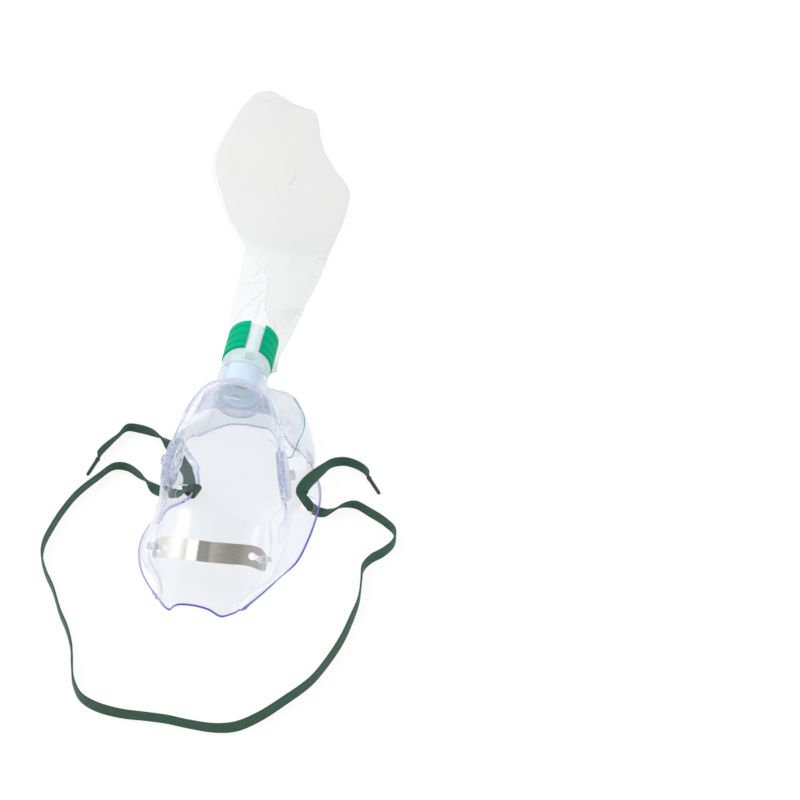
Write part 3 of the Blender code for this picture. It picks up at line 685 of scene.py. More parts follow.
def rounded(profile: Profile, radius: float, steps: int = 4) -> list[tuple[float, float]]:
    """The profile with its inner corners rounded, by at most this radius."""
    p = [np.array(q, float) for q in profile]
    out = [tuple(p[0])]
    for before, corner, after in zip(p, p[1:], p[2:]):
        r = min(radius, 0.45 * np.linalg.norm(before - corner), 0.45 * np.linalg.norm(after - corner))
        a = corner + (before - corner) / np.linalg.norm(before - corner) * r
        b = corner + (after - corner) / np.linalg.norm(after - corner) * r
        for t in np.linspace(0, 1, steps):
            out.append(tuple((1 - t) ** 2 * a + 2 * t * (1 - t) * corner + t * t * b))
    out.append(tuple(p[-1]))
    return out


def piece_of(name: str, mesh: bpy.types.Mesh, looks: Sequence[bpy.types.Material]) -> bpy.types.Object:
    """Puts a finished mesh into the scene with its materials."""
    made = bpy.data.objects.new(name, mesh)
    bpy.context.scene.collection.objects.link(made)
    for slot, look in enumerate(looks):
        if slot < len(mesh.materials):
            mesh.materials[slot] = look
        else:
            mesh.materials.append(look)
    return made


def joined(
    name: str,
    base: bpy.types.Mesh,
    how: Join,
    others: Sequence[bpy.types.Mesh],
    sharp: float = SHARP_FROM_DEG,
) -> bpy.types.Mesh:
    """Joins closed bodies to a base, or cuts them from it.

    Args:
        name: The new mesh's name.
        base: The mesh that is changed.
        how: Whether the others are added or cut away.
        others: The closed bodies.
        sharp: The angle in degrees above which an edge isn't shaded smooth.

    Returns:
        The joined mesh.
    """
    store = bpy.data.collections.new(f"{name}_{how.name.lower()}")
    bpy.context.scene.collection.children.link(store)
    for mesh in others:
        store.objects.link(bpy.data.objects.new(mesh.name, mesh))
    work = bpy.data.objects.new(name, base)
    bpy.context.scene.collection.objects.link(work)
    work.modifiers.new("triangles", "TRIANGULATE")
    change = work.modifiers.new(how.name, "BOOLEAN")
    change.operation = how.value
    change.operand_type = "COLLECTION"
    change.collection = store
    graph = bpy.context.evaluated_depsgraph_get()
    made = bpy.data.meshes.new_from_object(work.evaluated_get(graph))
    made.name = name
    for extra in [work, *store.objects]:
        bpy.data.objects.remove(extra)
    bpy.data.collections.remove(store)
    made.shade_smooth()
    made.set_sharp_from_angle(angle=math.radians(sharp))
    return made


# The mask


@dataclass
class MaskShell:
    """The soft clear moulding that lies on the table with its face opening down.

    The guide lines run from the nose notch to the chin rim. Their points are in per cent of the half width,
    the length and the height. The left rim has its own line, because that cheek is folded in.
    """

    length: float = 137.0
    half_width: float = 44.5
    height: float = 66.0
    wall: float = 1.2
    rim_bead: float = 1.7
    nose_lean: float = 6.0
    lean_fades_at: float = 95.0
    cuff_bore: float = 11.0
    cuff_wall: float = 2.1
    cuff_length: float = 13.0
    cuff_root: float = 3.2
    port_at: float = 102.5
    port_height: float = 50.0
    seat_radius: float = 12.8
    seat_rise: float = 1.3
    valve_at: tuple[Point, Point] = ((-28.2, 70.3, 30.0), (29.3, 70.7, 30.0))
    valve_facing: tuple[Point, Point] = ((-1, 0.12, 0.06), (1, 0.22, 0.12))
    facet: tuple[float, float, float] = (17.5, 13.0, 6.0)
    post_radius: float = 1.4
    vent_count: int = 6
    vent_radius: float = 2.3
    vent_ring: float = 7.4
    ledge_radius: float = 0.32
    slot_size: tuple[float, float] = (6.4, 10.0)
    slots: Profile = ((40.2, 76.8), (-24.5, 75.0))
    steps_along: int = 6
    steps_across: int = 6
    ledge_line: tuple[Point, ...] = (
        (24.9, 124.5, 31.6), (28.4, 119.5, 31.3), (31.6, 114.7, 30.2), (33, 109.8, 30.1), (33.4, 105.5, 30),
        (32.1, 97.7, 28.9), (30.4, 94.6, 24), (29.2, 92.2, 21.6), (27.7, 90.5, 22.3), (25.9, 88.5, 26.1),
    )  # fmt: skip
    crest: tuple[Point, ...] = (
        (0, 1.8, 5.0), (0, 8.8, 17), (0, 17.5, 29.5), (0, 29, 44), (0, 42.5, 61), (0, 55.5, 78),
        (0, 65.5, 92), (0, 71.5, 99), (0, 75.3, 92.5), (0, 76.3, 76), (0, 76.6, 58), (0, 80, 50),
        (0, 88, 49), (0, 95.5, 46.5), (0, 99.5, 38), (0, 99.6, 21), (0, 95.3, 2.2),
    )  # fmt: skip
    shoulder: tuple[Point, ...] = (
        (29, -0.4, 2.2), (36, 7.8, 13.5), (50, 16, 23.5), (53, 28, 38), (54, 40, 54.5), (53, 53.5, 72),
        (48, 64, 85.5), (39, 69.5, 92), (42, 71.3, 85), (45, 72.3, 73), (47, 73.7, 57.5), (54, 77.5, 50),
        (62, 85, 48.5), (55, 92.5, 46.5), (50, 96.5, 37), (45, 96.5, 20), (35, 92.3, 2.2),
    )  # fmt: skip
    cheek: tuple[Point, ...] = (
        (38.8, 1.2, 2.2), (46, 8.6, 10), (61.5, 16, 15.5), (67, 26.5, 23), (66, 39.5, 34.5), (64, 51.5, 48),
        (63.3, 56, 60), (62, 58.8, 64.5), (62.5, 61.8, 63), (64.5, 65.5, 59), (67.5, 69.5, 54),
        (71, 74, 49.5), (75, 80, 44.5), (71.5, 87, 38.5), (63.5, 91, 30), (58, 91.5, 17), (48, 89.3, 2.2),
    )  # fmt: skip
    root: tuple[Point, ...] = (
        (44.4, 3, 2.2), (52.5, 10.8, 5.5), (68.8, 18.2, 7.5), (77.5, 27, 9), (77, 38, 11),
        (75.5, 50.5, 13.5), (75.5, 58.5, 15), (77, 63.5, 16.5), (80, 67, 18), (83.5, 70, 19),
        (86.5, 73, 19.5), (88.5, 76, 19.5), (87.5, 79.7, 19), (81.5, 83.8, 17), (73, 86.4, 13.5),
        (66, 87.5, 9.5), (56.5, 86.7, 2.2),
    )  # fmt: skip
    rim: tuple[Point, ...] = (
        (49.3, 5, 2.2), (65, 12.7, 2.2), (79, 20.5, 2.2), (93, 28.5, 2.6), (100, 39, 4.3), (103.5, 50, 6),
        (103.5, 58.5, 6), (101.5, 64, 4.6), (99.5, 67.5, 3), (97, 70, 2.4), (94.8, 72.4, 2.2),
        (92, 74.5, 2.2), (88, 77, 2.2), (83.6, 79.2, 2.2), (78.6, 81.3, 2.2), (73, 82.9, 2.2),
        (63, 84.8, 2.2),
    )  # fmt: skip
    left_rim: tuple[Point, ...] = (
        (49.3, 5, 2.2), (65, 11, 2.2), (77.5, 18, 2.2), (85, 28, 2.8), (80, 38, 4), (67, 44.5, 4.8),
        (47, 51, 4.8), (41, 58, 4.8), (41.5, 63, 4.8), (44, 67, 4.8), (50, 70.5, 4.8), (58.5, 73.5, 4.8),
        (66, 76.5, 4.8), (70, 79, 4.6), (71, 81.2, 4), (69, 83, 3), (62, 84.9, 2.2),
    )  # fmt: skip
    left_fold: int = 5
    left_turn: tuple[Point, ...] = (
        (76, 44.5, 4.2), (73.5, 52, 4.5), (72, 58, 4.6), (71, 63, 4.6), (69, 67, 4.6), (67, 70.5, 4.8),
    )  # fmt: skip
    left_pull: tuple[float, ...] = (
        1, 1, 1, 1, 1, 1, 1, 0.98, 0.94, 0.9, 0.86, 0.83, 0.82, 0.83, 0.86, 0.89, 0.95,
    )  # fmt: skip
    grid: np.ndarray = field(init=False)
    skin: BVHTree = field(init=False)

    def __post_init__(self) -> None:
        """Draws the outer surface once, because the strip and the valves stand on it."""
        self.grid = self.surface()
        rows, columns = self.grid.shape[:2]
        points = [Vector(p) for p in self.grid.reshape(-1, 3)]
        self.skin = BVHTree.FromPolygons(points, grid_faces(rows, columns))

    def scaled(self, line: Sequence[Point]) -> np.ndarray:
        """A guide line in millimetres."""
        return np.array(line, float) / 100 * (self.half_width, self.length, self.height)

    def guides(self) -> np.ndarray:
        """The guide lines from the left rim over the crest to the right rim, each from nose to chin."""
        drawn = (self.crest, self.shoulder, self.cheek, self.root, self.rim)
        crest, shoulder, cheek, root, rim = map(self.scaled, drawn)
        panel = crest + (shoulder - crest) * (0.62, 0.28, 0.24)
        right = [panel, shoulder, cheek, root, (root + rim) / 2 - (0, 0, 0.15) * root, rim]
        left = [line * (-1, 1, 1) for line in (panel, shoulder, cheek, root)]
        for line in left[1:]:
            line[:, 0] *= np.array(self.left_pull)
        left_rim = self.scaled(self.left_rim) * (-1, 1, 1)
        turn = (left[3] + left_rim) / 2 - (0, 0, 0.15) * left[3]
        turn[self.left_fold : self.left_fold + len(self.left_turn)] = self.scaled(self.left_turn) * (-1, 1, 1)
        left += [turn, left_rim]
        lean = self.nose_lean * np.clip(1 - crest[:, 1] / self.lean_fades_at, 0, 1)
        crest[:, 0] -= lean
        for lines in (left, right):
            for line, share in zip(lines, (0.8, 0.45, 0.38, 0.3, 0.27, 0.24)):
                line[:, 0] -= share * lean
        return np.array(left[::-1] + [crest] + right)

    def surface(self) -> np.ndarray:
        """The outer surface.

        Returns:
            Rows of points from nose to chin, each from the left rim to the right one and closer at the rims.
        """
        guides = self.guides()
        along = spread(guides.shape[1], self.steps_along)
        along = np.concatenate([[0, 0.05], along[1:-1], [along[-1] - 0.06, along[-1]]])
        across = spread(len(guides), self.steps_across)
        across = np.concatenate([[0, 0.1], across[1:-1], [across[-1] - 0.1, across[-1]]])
        lines = np.array([curve_at(line, along) for line in guides])
        return self.pressed_flat(np.array([curve_at(lines[:, row], across) for row in range(len(along))]))

    def pressed_flat(self, points: np.ndarray) -> np.ndarray:
        """The points with a flat facet on each cheek for its valve seat, fading into the wall round it."""
        radius, fade_over, foot = self.facet
        for side, centre, normal in zip(Side, self.valve_at, self.valve_facing):
            away = points - centre
            reach = np.linalg.norm(away[..., 1:], axis=-1)
            fade = np.clip((reach - radius) / fade_over, 0, 1)
            share = 1 - fade * fade * (3 - 2 * fade)
            share[(points[..., 0] * side.value <= 0) | (points[..., 2] < foot)] = 0
            facet = -(away[..., 1] * normal[1] + away[..., 2] * normal[2]) / normal[0]
            points[..., 0] += share * (facet - away[..., 0])
        return points

    def closed_skin(self, looks: Sequence[bpy.types.Material]) -> bpy.types.Mesh:
        """The moulding's wall as one closed body, with a rounded bead along its rim.

        Args:
            looks: The wall's material and the bead's.

        Returns:
            The mesh.
        """
        outer = self.grid
        rows, columns = outer.shape[:2]
        along, across = np.gradient(outer, axis=0), np.gradient(outer, axis=1)
        normal = unit(np.cross(across, along))
        thick = np.full((rows, columns), self.wall)
        thick[0] = thick[-1] = self.rim_bead
        thick[:, 0] = thick[:, -1] = self.rim_bead
        outer = outer + normal * ((thick - self.wall) * 0.5)[..., None]
        inner = outer - normal * thick[..., None]
        points = [*outer.reshape(-1, 3), *inner.reshape(-1, 3)]
        size = rows * columns
        faces = grid_faces(rows, columns) + grid_faces(rows, columns, size, True)
        edge = [(0, j) for j in range(columns)] + [(i, columns - 1) for i in range(1, rows)]
        edge += [(rows - 1, j) for j in range(columns - 2, -1, -1)] + [(i, 0) for i in range(rows - 2, 0, -1)]
        inside = [(min(max(i, 1), rows - 2), min(max(j, 1), columns - 2)) for i, j in edge]
        loops = [[i * columns + j for i, j in edge]]
        for turn in (-0.5, 0.0, 0.5):
            loop = []
            for (i, j), (m, n) in zip(edge, inside):
                top, low = outer[i, j], inner[i, j]
                middle, rise = (top + low) / 2, (top - low) / 2
                away = middle - (outer[m, n] + inner[m, n]) / 2
                away /= np.linalg.norm(away)
                half = np.linalg.norm(top - low) / 2
                angle = turn * math.pi / 2
                loop.append(len(points))
                points.append(middle + away * half * math.cos(angle) - rise * math.sin(angle))
            loops.append(loop)
        loops.append([size + i * columns + j for i, j in edge])
        wall_faces = len(faces)
        for first, second in zip(loops, loops[1:]):
            for k in range(len(edge)):
                n = (k + 1) % len(edge)
                faces.append((first[k], first[n], second[n], second[k]))
        mesh = mesh_of("mask_wall", points, faces, 50)
        for look in looks:
            mesh.materials.append(look)
        for face in mesh.polygons[wall_faces:]:
            face.material_index = 1
        return mesh

    def cheek_place(self, side: Side) -> Matrix:
        """The valve seat's place on one cheek, with +Z outwards."""
        which = 0 if side is Side.LEFT else 1
        return facing(self.valve_at[which], self.valve_facing[which])

    def port_place(self, y: float) -> Matrix:
        """A place on the port's axis, with +Z towards the bag."""
        return facing((0, y, self.port_height), (0, 1, 0), (0, 0, 1))

    def cuff(self) -> bpy.types.Mesh:
        """The port cuff, ribbed outside for grip and rolled at its lip."""
        radius = self.cuff_bore + self.cuff_wall
        low, high = -self.cuff_root, self.cuff_length
        profile = [(radius - 0.5, low), (radius, low + 1)]
        for k in range(4):
            middle = high - 10.5 + 2.4 * k
            profile += [(radius, middle - 0.6), (radius - 0.1, middle), (radius, middle + 0.6)]
        profile += [(radius + 0.1, high - 1.2), (radius - 0.1, high - 0.5), (radius - 0.5, high)]
        return body("cuff", profile, self.port_place(self.port_at), 72)

    def ledge(self, look: bpy.types.Material) -> bpy.types.Object:
        """Builds the bead along the step where the chin cup meets the right cheek."""
        line = curve_at(np.array(self.ledge_line, float), spread(len(self.ledge_line), 8))
        ahead = np.gradient(line, axis=0)
        across = unit(np.cross(ahead, (0, 0, 1)))
        above = np.cross(across, unit(ahead))
        turn = np.linspace(0, 2 * math.pi, 8, endpoint=False)[:, None]
        circles = across[:, None] * np.cos(turn) + above[:, None] * np.sin(turn)
        rings = line[:, None] + self.ledge_radius * circles
        return piece_of("chin_ledge", rings_mesh("chin_ledge", rings, sharp=80), [look])

    def valve_bosses(self, place: Matrix) -> list[bpy.types.Mesh]:
        """The seat, the centre post and the post's head."""
        radius, rise, post = self.seat_radius, self.seat_rise, self.post_radius
        seat = rounded([(radius - 0.2, -2.8), (radius, 0.2), (radius, rise), (0.5, rise)], 0.4)
        head = rounded([(post, 2.8), (2.9, 2.9), (2.8, 3.8), (2.6, 5.3), (0.4, 5.6)], 0.4)
        parts = (("seat", seat, 56), ("post", [(post, 0), (post, 3)], 20), ("head", head, 28))
        return [body(name, profile, place, sides) for name, profile, sides in parts]

    def build(self, looks: Sequence[bpy.types.Material], pegs: Sequence[bpy.types.Mesh]) -> bpy.types.Object:
        """Builds the whole moulding.

        Args:
            looks: Its material, and the one of its rim.
            pegs: The nose strip's pegs, which are part of the moulding.

        Returns:
            The finished piece.
        """
        bosses = [self.cuff(), *pegs]
        bore = [(self.cuff_bore, -12), (self.cuff_bore, self.cuff_length + 4)]
        cuts = [body("bore", bore, self.port_place(self.port_at), 72)]
        for side in Side:
            place = self.cheek_place(side)
            bosses += self.valve_bosses(place)
            for k in range(self.vent_count):
                angle = 2 * math.pi * k / self.vent_count
                across, along = self.vent_ring * math.cos(angle), self.vent_ring * math.sin(angle)
                spot = place @ Matrix.Translation((across, along, 0))
                cuts.append(body("vent", [(self.vent_radius, -9.6), (self.vent_radius, 6.4)], spot, 20))
        for x, y in self.slots:
            cuts.append(block("slot", (*self.slot_size, 12), Matrix.Translation((x, y, 4))))
        mesh = joined("clear_shell", self.closed_skin(looks), Join.ADD, bosses)
        mesh = joined("clear_shell", mesh, Join.CUT, cuts, 40)
        return piece_of("clear_shell", mesh, looks)


@dataclass
class NoseStrip:
    """The soft aluminium strip, bent over the nose ridge and hooked over two pegs by its keyholes."""

    shell: MaskShell
    plan_width: float = 8.8
    thickness: float = 0.6
    lift: float = 0.9
    fold_at: float = -5.5
    ends: tuple[float, float] = (-27.5, 27.0)
    line_at: float = 23.5
    sweeps: tuple[float, float] = (1.2, 3.4)
    corner: float = 4.0
    stations: int = 80
    peg_from_end: float = 3.2
    peg_lean: float = 0.9
    peg_profile: Profile = ((1.2, -1.2), (1.2, 2.1), (1.75, 2.3), (1.7, 7.0), (1.2, 7.4), (0.4, 7.4))
    peg_hole: Profile = ((1.4, -1), (1.4, 2.15), (1.95, 2.2), (1.95, 8))
    keyhole: Profile = ((0.0, 1.5), (-4.2, 1.95))
    crease: float = 0.7
    edge_round: float = 0.12
    end_round: float = 0.62

    def line(self, x: float) -> tuple[Vector, Vector, Vector]:
        """The strip's front and back edge on the shell at this x, and the upward direction there."""
        away = x - self.fold_at
        end, sweep = (self.ends[1], self.sweeps[1]) if away > 0 else (self.ends[0], self.sweeps[0])
        y = self.line_at + sweep * (away / (end - self.fold_at)) ** 2
        front, back = (self.drop(x, y + step * self.plan_width / 2) for step in (-1, 1))
        beside = [self.drop(x + step, y) for step in (-2, 2)]
        return front, back, (beside[1] - beside[0]).cross(back - front).normalized()

    def drop(self, x: float, y: float) -> Vector:
        """The point of the shell under this place."""
        return self.shell.skin.ray_cast(Vector((x, y, 100)), Vector((0, 0, -1)))[0]

    def place(self, x: float) -> Matrix:
        """The strip's middle at this x, with +Z off the shell and +Y outwards along the strip."""
        front, back, up = self.line(x)
        middle = (front + back) / 2
        inner = self.line(x - math.copysign(4, x - self.fold_at))
        return facing(middle, up, middle - (inner[0] + inner[1]) / 2)

    def peg_places(self) -> list[Matrix]:
        """The pegs' places, each leaning outwards from the strip's normal."""
        made = []
        for end, inwards in zip(self.ends, (1, -1)):
            place = self.place(end + inwards * self.peg_from_end)
            lean = Vector((math.copysign(self.peg_lean, end), 0, 0))
            made.append(facing(place.translation, place.to_3x3() @ Vector((0, 0, 1)) + lean))
        return made

    def pegs(self) -> list[bpy.types.Mesh]:
        """The two pegs of the shell that hold the strip."""
        profile = rounded(self.peg_profile, 0.3)
        return [body("peg", profile, place, 28) for place in self.peg_places()]

    def build(self, look: bpy.types.Material) -> bpy.types.Object:
        """Builds the strip with its round ends and keyholes."""
        rings = []
        low, high = self.ends
        for x in low + (high - low) * (1 - np.cos(np.linspace(0, math.pi, self.stations))) / 2:
            front, back, up = self.line(x)
            from_end = min(x - low, high - x, self.corner)
            cut = 1 - math.sqrt(max(0.0, 1 - (1 - from_end / self.corner) ** 2))
            middle, half = (front + back) / 2, (back - front) / 2 * (1 - self.end_round * cut)
            lift = self.lift + self.crease * max(0.0, 1 - abs(x - self.fold_at) / 5)
            lower, upper = up * lift, up * (lift + self.thickness)
            inset, step = half.normalized() * self.edge_round, up * self.edge_round
            rings.append(
                [
                    middle - half + inset + lower,
                    middle + half - inset + lower,
                    middle + half + lower + step,
                    middle + half + upper - step,
                    middle + half - inset + upper,
                    middle - half + inset + upper,
                    middle - half + upper - step,
                    middle - half + lower + step,
                ]
            )
        strip = rings_mesh("bent_strip", np.array(rings))
        cuts = []
        for end, inwards in zip(self.ends, (1, -1)):
            spot = self.place(end + inwards * self.peg_from_end)
            cuts.append(block("slot", (2.6, 4.2, 6), spot @ Matrix.Translation((0, -2.1, 0))))
            for at, radius in self.keyhole:
                middle = spot @ Matrix.Translation((0, at, 0))
                cuts.append(body("hole", [(radius, -3.2), (radius, 3.2)], middle, 32))
        cuts += [body("peg_hole", self.peg_hole, place, 28) for place in self.peg_places()]
        return piece_of("bent_strip", joined("bent_strip", strip, Join.CUT, cuts), [look])


@dataclass
class ExhaleValve:
    """One exhalation valve: a thin silicone disc on its seat."""

    shell: MaskShell
    side: Side
    radius: float = 12.1
    thickness: float = 0.6
    bottom: float = 1.6
    hole: float = 1.7

    def build(self, look: bpy.types.Material) -> bpy.types.Object:
        """Builds the disc, slightly dished, with a raised ring round its hole."""
        top = self.bottom + self.thickness
        profile = [
            (self.hole, self.bottom), (self.radius - 0.1, self.bottom), (self.radius, self.bottom + 0.2),
            (self.radius - 0.1, top - 0.12), (self.radius - 0.6, top), (self.hole + 1.7, top - 0.05),
            (self.hole + 1.2, top + 0.25), (self.hole, top + 0.25),
        ]  # fmt: skip
        name = f"valve_disc_{self.side.name.lower()}"
        return piece_of(name, tube(name, profile, self.shell.cheek_place(self.side)), [look])


# The connector, the collar and the bag


@dataclass
class Connector:
    """The milky connector: spigot, body, neck, gas inlet and the spider that carries the one-way flap."""

    shell: MaskShell
    gap: float = 0.3
    spigot_length: float = 11.5
    body_radius: float = 12.6
    body_length: float = 10.0
    neck_radius: float = 10.9
    neck_length: float = 20.2
    bore: float = 9.2
    inlet_radius: float = 3.2
    inlet_bore: float = 1.6
    inlet_length: float = 20.5
    inlet_offset: float = 15.4
    inlet_before_collar: float = 8.5
    inlet_turn_deg: float = 13.0

    @property
    def shoulder(self) -> float:
        """Where the body starts along Y."""
        return self.shell.port_at + self.shell.cuff_length + self.gap

    @property
    def neck(self) -> float:
        """Where the neck starts along Y."""
        return self.shoulder + self.body_length

    @property
    def outwards(self) -> Vector:
        """The direction from the axis to the inlet tube."""
        turn = math.radians(self.inlet_turn_deg)
        return Vector((math.sin(turn), 0, math.cos(turn)))

    def off_axis(self, y: float, away: float) -> Vector:
        """The point this far from the axis, on the inlet tube's side."""
        return Vector((0, y, self.shell.port_height)) + self.outwards * away

    def spider(self) -> list[bpy.types.Mesh]:
        """The hub, the three arms and the pin that hold the one-way flap."""
        face = self.shell.port_place(self.shoulder + 1.5)
        reach = self.bore + 0.5
        made = [body("hub", [(3, 0), (3, 1.6)], face, 24)]
        for k in range(3):
            turned = face @ Matrix.Rotation(math.radians(120 * k), 4, "Z")
            made.append(block("arm", (1.8, reach, 1.0), turned @ Matrix.Translation((0, reach / 2, 0.8))))
        return [*made, body("pin", [(1.1, -1.7), (1.1, 0.8)], face, 16)]

    def build(self, look: bpy.types.Material) -> bpy.types.Object:
        """Builds the whole moulding."""
        spigot, shoulder, neck = self.shoulder - self.spigot_length, self.shoulder, self.neck
        end = neck + self.neck_length
        fit, wide, slim = self.shell.cuff_bore - self.gap, self.body_radius, self.neck_radius
        profile = [
            (self.bore, spigot), (fit - 0.5, spigot), (fit, spigot + 1.5), (fit, shoulder),
            (wide - 0.6, shoulder), (wide, shoulder + 0.7), (wide, neck - 1.1), (wide - 0.3, neck - 0.4),
            (wide - 0.9, neck), (slim, neck), (slim, end - 0.9), (slim - 0.6, end), (self.bore, end),
        ]  # fmt: skip
        base = tube("connector", profile, self.shell.port_place(0), 80)
        start = neck - self.inlet_before_collar
        along = facing(self.off_axis(start, self.inlet_offset), (0, 1, 0), self.outwards)
        thick, long = self.inlet_radius, self.inlet_length
        nipple = rounded(
            [
                (0.6, -0.5), (thick - 0.2, -0.2), (thick + 0.1, 1.2), (thick, 3), (thick - 0.1, long - 2),
                (thick - 0.3, long - 0.5), (thick - 0.8, long),
            ],
            0.5,
        )  # fmt: skip
        under = along @ Matrix.Translation((0, -3, self.inlet_before_collar / 2))
        web = block("web", (5.6, 5.0, self.inlet_before_collar - 0.3), under)
        mesh = joined("connector", base, Join.ADD, [body("nipple", nipple, along, 40), web, *self.spider()])
        gas = body("gas", [(self.inlet_bore, 3), (self.inlet_bore, long + 3)], along, 28)
        inwards = facing(self.off_axis(start + 4.5, self.bore - 1.5), self.outwards)
        port = body("gas_port", [(self.inlet_bore, -0.5), (self.inlet_bore, 6.3)], inwards, 24)
        return piece_of("gas_connector", joined("gas_connector", mesh, Join.CUT, [gas, port]), [look])


@dataclass
class BagCollar:
    """The green split band that clamps the bag's neck, open where the inlet tube lies."""

    connector: Connector
    length: float = 19.5
    inner: float = 12.0
    wall: float = 1.2
    grooves: int = 3
    groove_depth: float = 0.5
    groove_width: float = 1.6
    slot: float = 8.4

    @property
    def start(self) -> float:
        """Where the collar starts along Y."""
        return self.connector.neck + self.connector.gap

    def build(self, look: bpy.types.Material) -> bpy.types.Object:
        """Builds the band with its grooves and rounded edges."""
        outer = self.inner + self.wall
        profile = [(self.inner, 0.0), (outer - 0.3, 0.0), (outer, 0.4)]
        for k in range(self.grooves):
            middle = self.length * (k + 0.75) / (self.grooves + 0.5)
            for offset, depth in ((-0.5, 0), (-0.38, 0.6), (-0.2, 1), (0.2, 1), (0.38, 0.6), (0.5, 0)):
                profile.append((outer - depth * self.groove_depth, middle + offset * self.groove_width))
        profile += [(outer, self.length - 0.4), (outer - 0.3, self.length), (self.inner, self.length)]
        half = math.degrees(math.asin(self.slot / 2 / outer))
        shell = self.connector.shell
        rings = lathe(profile, shell.port_place(self.start), 110, 0, 360 - 2 * half)
        lifted = Matrix.Translation((0, 0, shell.port_height))
        spin = Matrix.Rotation(math.radians(self.connector.inlet_turn_deg - half), 4, "Y")
        turn = lifted @ spin @ Matrix.Translation((0, 0, -shell.port_height))
        turned = np.array([[turn @ Vector(p) for p in ring] for ring in rings])
        return piece_of("split_collar", rings_mesh("split_collar", turned), [look])


@dataclass
class ReservoirBag:
    """The reservoir bag: two welded films, gathered on the connector's neck and lying flat at the far end.

    Each station holds the left edge, the right edge and half the thickness. The lap and the folds are pairs
    of a station and a share of the way across. The film is single to the left of the lap's line. Each fold
    has its width in millimetres. The fin holds both edges of the free film beside the collar.
    """

    collar: BagCollar
    half_sides: int = 22
    clamped: int = 4
    broad_crumple: Point = (22, 60, 1.5)
    fine_crumple: Point = (9, 34, 1.2)
    least_height: float = 0.35
    steps: int = 6
    stations: tuple[tuple[Point, Point, float], ...] = (
        ((-14.6, 158, 48.8), (12.9, 162, 47.8), 9.8), ((-17.6, 176, 45), (17, 176, 40.5), 8.6),
        ((-19, 197, 38), (19.5, 194, 33), 8), ((-21, 222, 31), (21.3, 219, 25.5), 7.5),
        ((-24, 243, 24), (22.4, 243.5, 18.5), 7), ((-32, 263, 17), (22.7, 261, 14.5), 6.5),
        ((-42, 285, 11), (24.5, 282, 11), 6), ((-51, 308, 8), (25.5, 303, 8.5), 5.4),
        ((-58.5, 328, 6.5), (24, 326, 7), 4.8), ((-61, 346, 5.7), (11.5, 346, 6.2), 4.4),
        ((-58.7, 369, 5), (1.2, 367, 5.8), 3.8), ((-55, 391, 4.2), (-5, 391, 4.6), 2.8),
        ((-53, 400, 3.8), (-8, 399.6, 4.2), 2.3), ((-52, 403.5, 3.6), (-10.7, 402.2, 3.8), 2),
        ((-51.2, 406.5, 3.4), (-14.7, 401.9, 3.6), 1.7), ((-49.6, 411, 3), (-23.9, 407.7, 3.2), 1.3),
        ((-47.3, 414.8, 2.7), (-31.8, 414.1, 2.8), 1), ((-42.5, 417.2, 2.4), (-36.8, 417, 2.4), 0.7),
    )  # fmt: skip
    lap: Profile = (
        (-4.0, 0.9), (-0.8, 0.8), (-0.3, 0.68), (0.5, 0.54), (1.6, 0.44), (2.1, 0.4), (2.6, 0.28),
        (3.0, 0.16), (3.8, 0.02),
    )  # fmt: skip
    folds: tuple[tuple[Profile, float], ...] = (
        (lap[1:], 1.0),
        (((14.3, 0.06), (14.2, 0.3), (14.0, 0.56), (13.4, 0.88)), 0.7),
        (((1.8, 0.01), (1.7, 0.14), (1.8, 0.28), (1.9, 0.38)), 1.3),
        (((-0.5, 0.1), (0.1, 0.3), (1.1, 0.42)), 0.7),
        (((2.0, 0.22), (2.4, 0.26), (2.7, 0.27)), 0.6),
        (((-0.9, 0.48), (-0.3, 0.52), (0.4, 0.5)), 0.6),
        (((8.8, 0.64), (8.4, 0.62), (7.8, 0.58), (7.5, 0.54)), 0.6),
        (((7.2, 0.44), (7.1, 0.5), (6.9, 0.52)), 0.6),
        (((7.8, 0.58), (7.6, 0.6), (7.3, 0.62)), 0.4),
        (((4.1, 0.9), (4.3, 0.96), (4.5, 0.98)), 1.2),
        (((-0.9, 0.96), (-0.3, 0.82), (0.2, 0.66)), 0.7),
    )  # fmt: skip
    fin: tuple[tuple[Point, Point], ...] = (
        ((9, 196, 28), (18.5, 197.3, 27)), ((9, 179, 31), (17.3, 179.4, 32)),
        ((8.5, 161, 33), (15.7, 161.1, 36)), ((8.5, 150, 33.5), (13.7, 150.9, 37)),
        ((8.5, 145, 33), (13, 146.3, 36)), ((9, 139, 32), (13.4, 139.5, 34.3)),
    )  # fmt: skip

    def rings(self) -> np.ndarray:
        """Rings of the bag from its clamped neck to the far weld."""
        start = self.collar.start
        end = start + self.collar.length
        radius = self.collar.connector.neck_radius + 0.8
        height = self.collar.connector.shell.port_height
        neck = (start, (start + end) / 2, end - 1.4, end + 1.4)
        rows = [((-radius, y, height), (radius, y, height), radius) for y in neck] + list(self.stations)
        left, right = (np.array([row[i] for row in rows], float) for i in (0, 1))
        thick = np.array([row[2] for row in rows], float)
        middle, half = (left + right) / 2, (right - left) / 2
        up = unit(np.cross(half, np.gradient(middle, axis=0)))
        pinch = np.interp(np.arange(len(rows)), (4, 8), (1, 1.5))
        angles = np.pi * np.arange(2 * self.half_sides) / self.half_sides
        guides = []
        for i in range(len(rows)):
            rise = np.sign(np.sin(angles)) * np.abs(np.sin(angles)) ** pinch[i]
            lifted = np.outer(rise, up[i] * max(thick[i], 0.2))
            guides.append(middle[i] + np.outer(np.cos(angles), half[i]) + lifted)
        guides = np.array(guides)
        where = spread(len(rows), self.steps)
        return np.array([curve_at(guides[:, k], where) for k in range(guides.shape[1])]).swapaxes(0, 1)

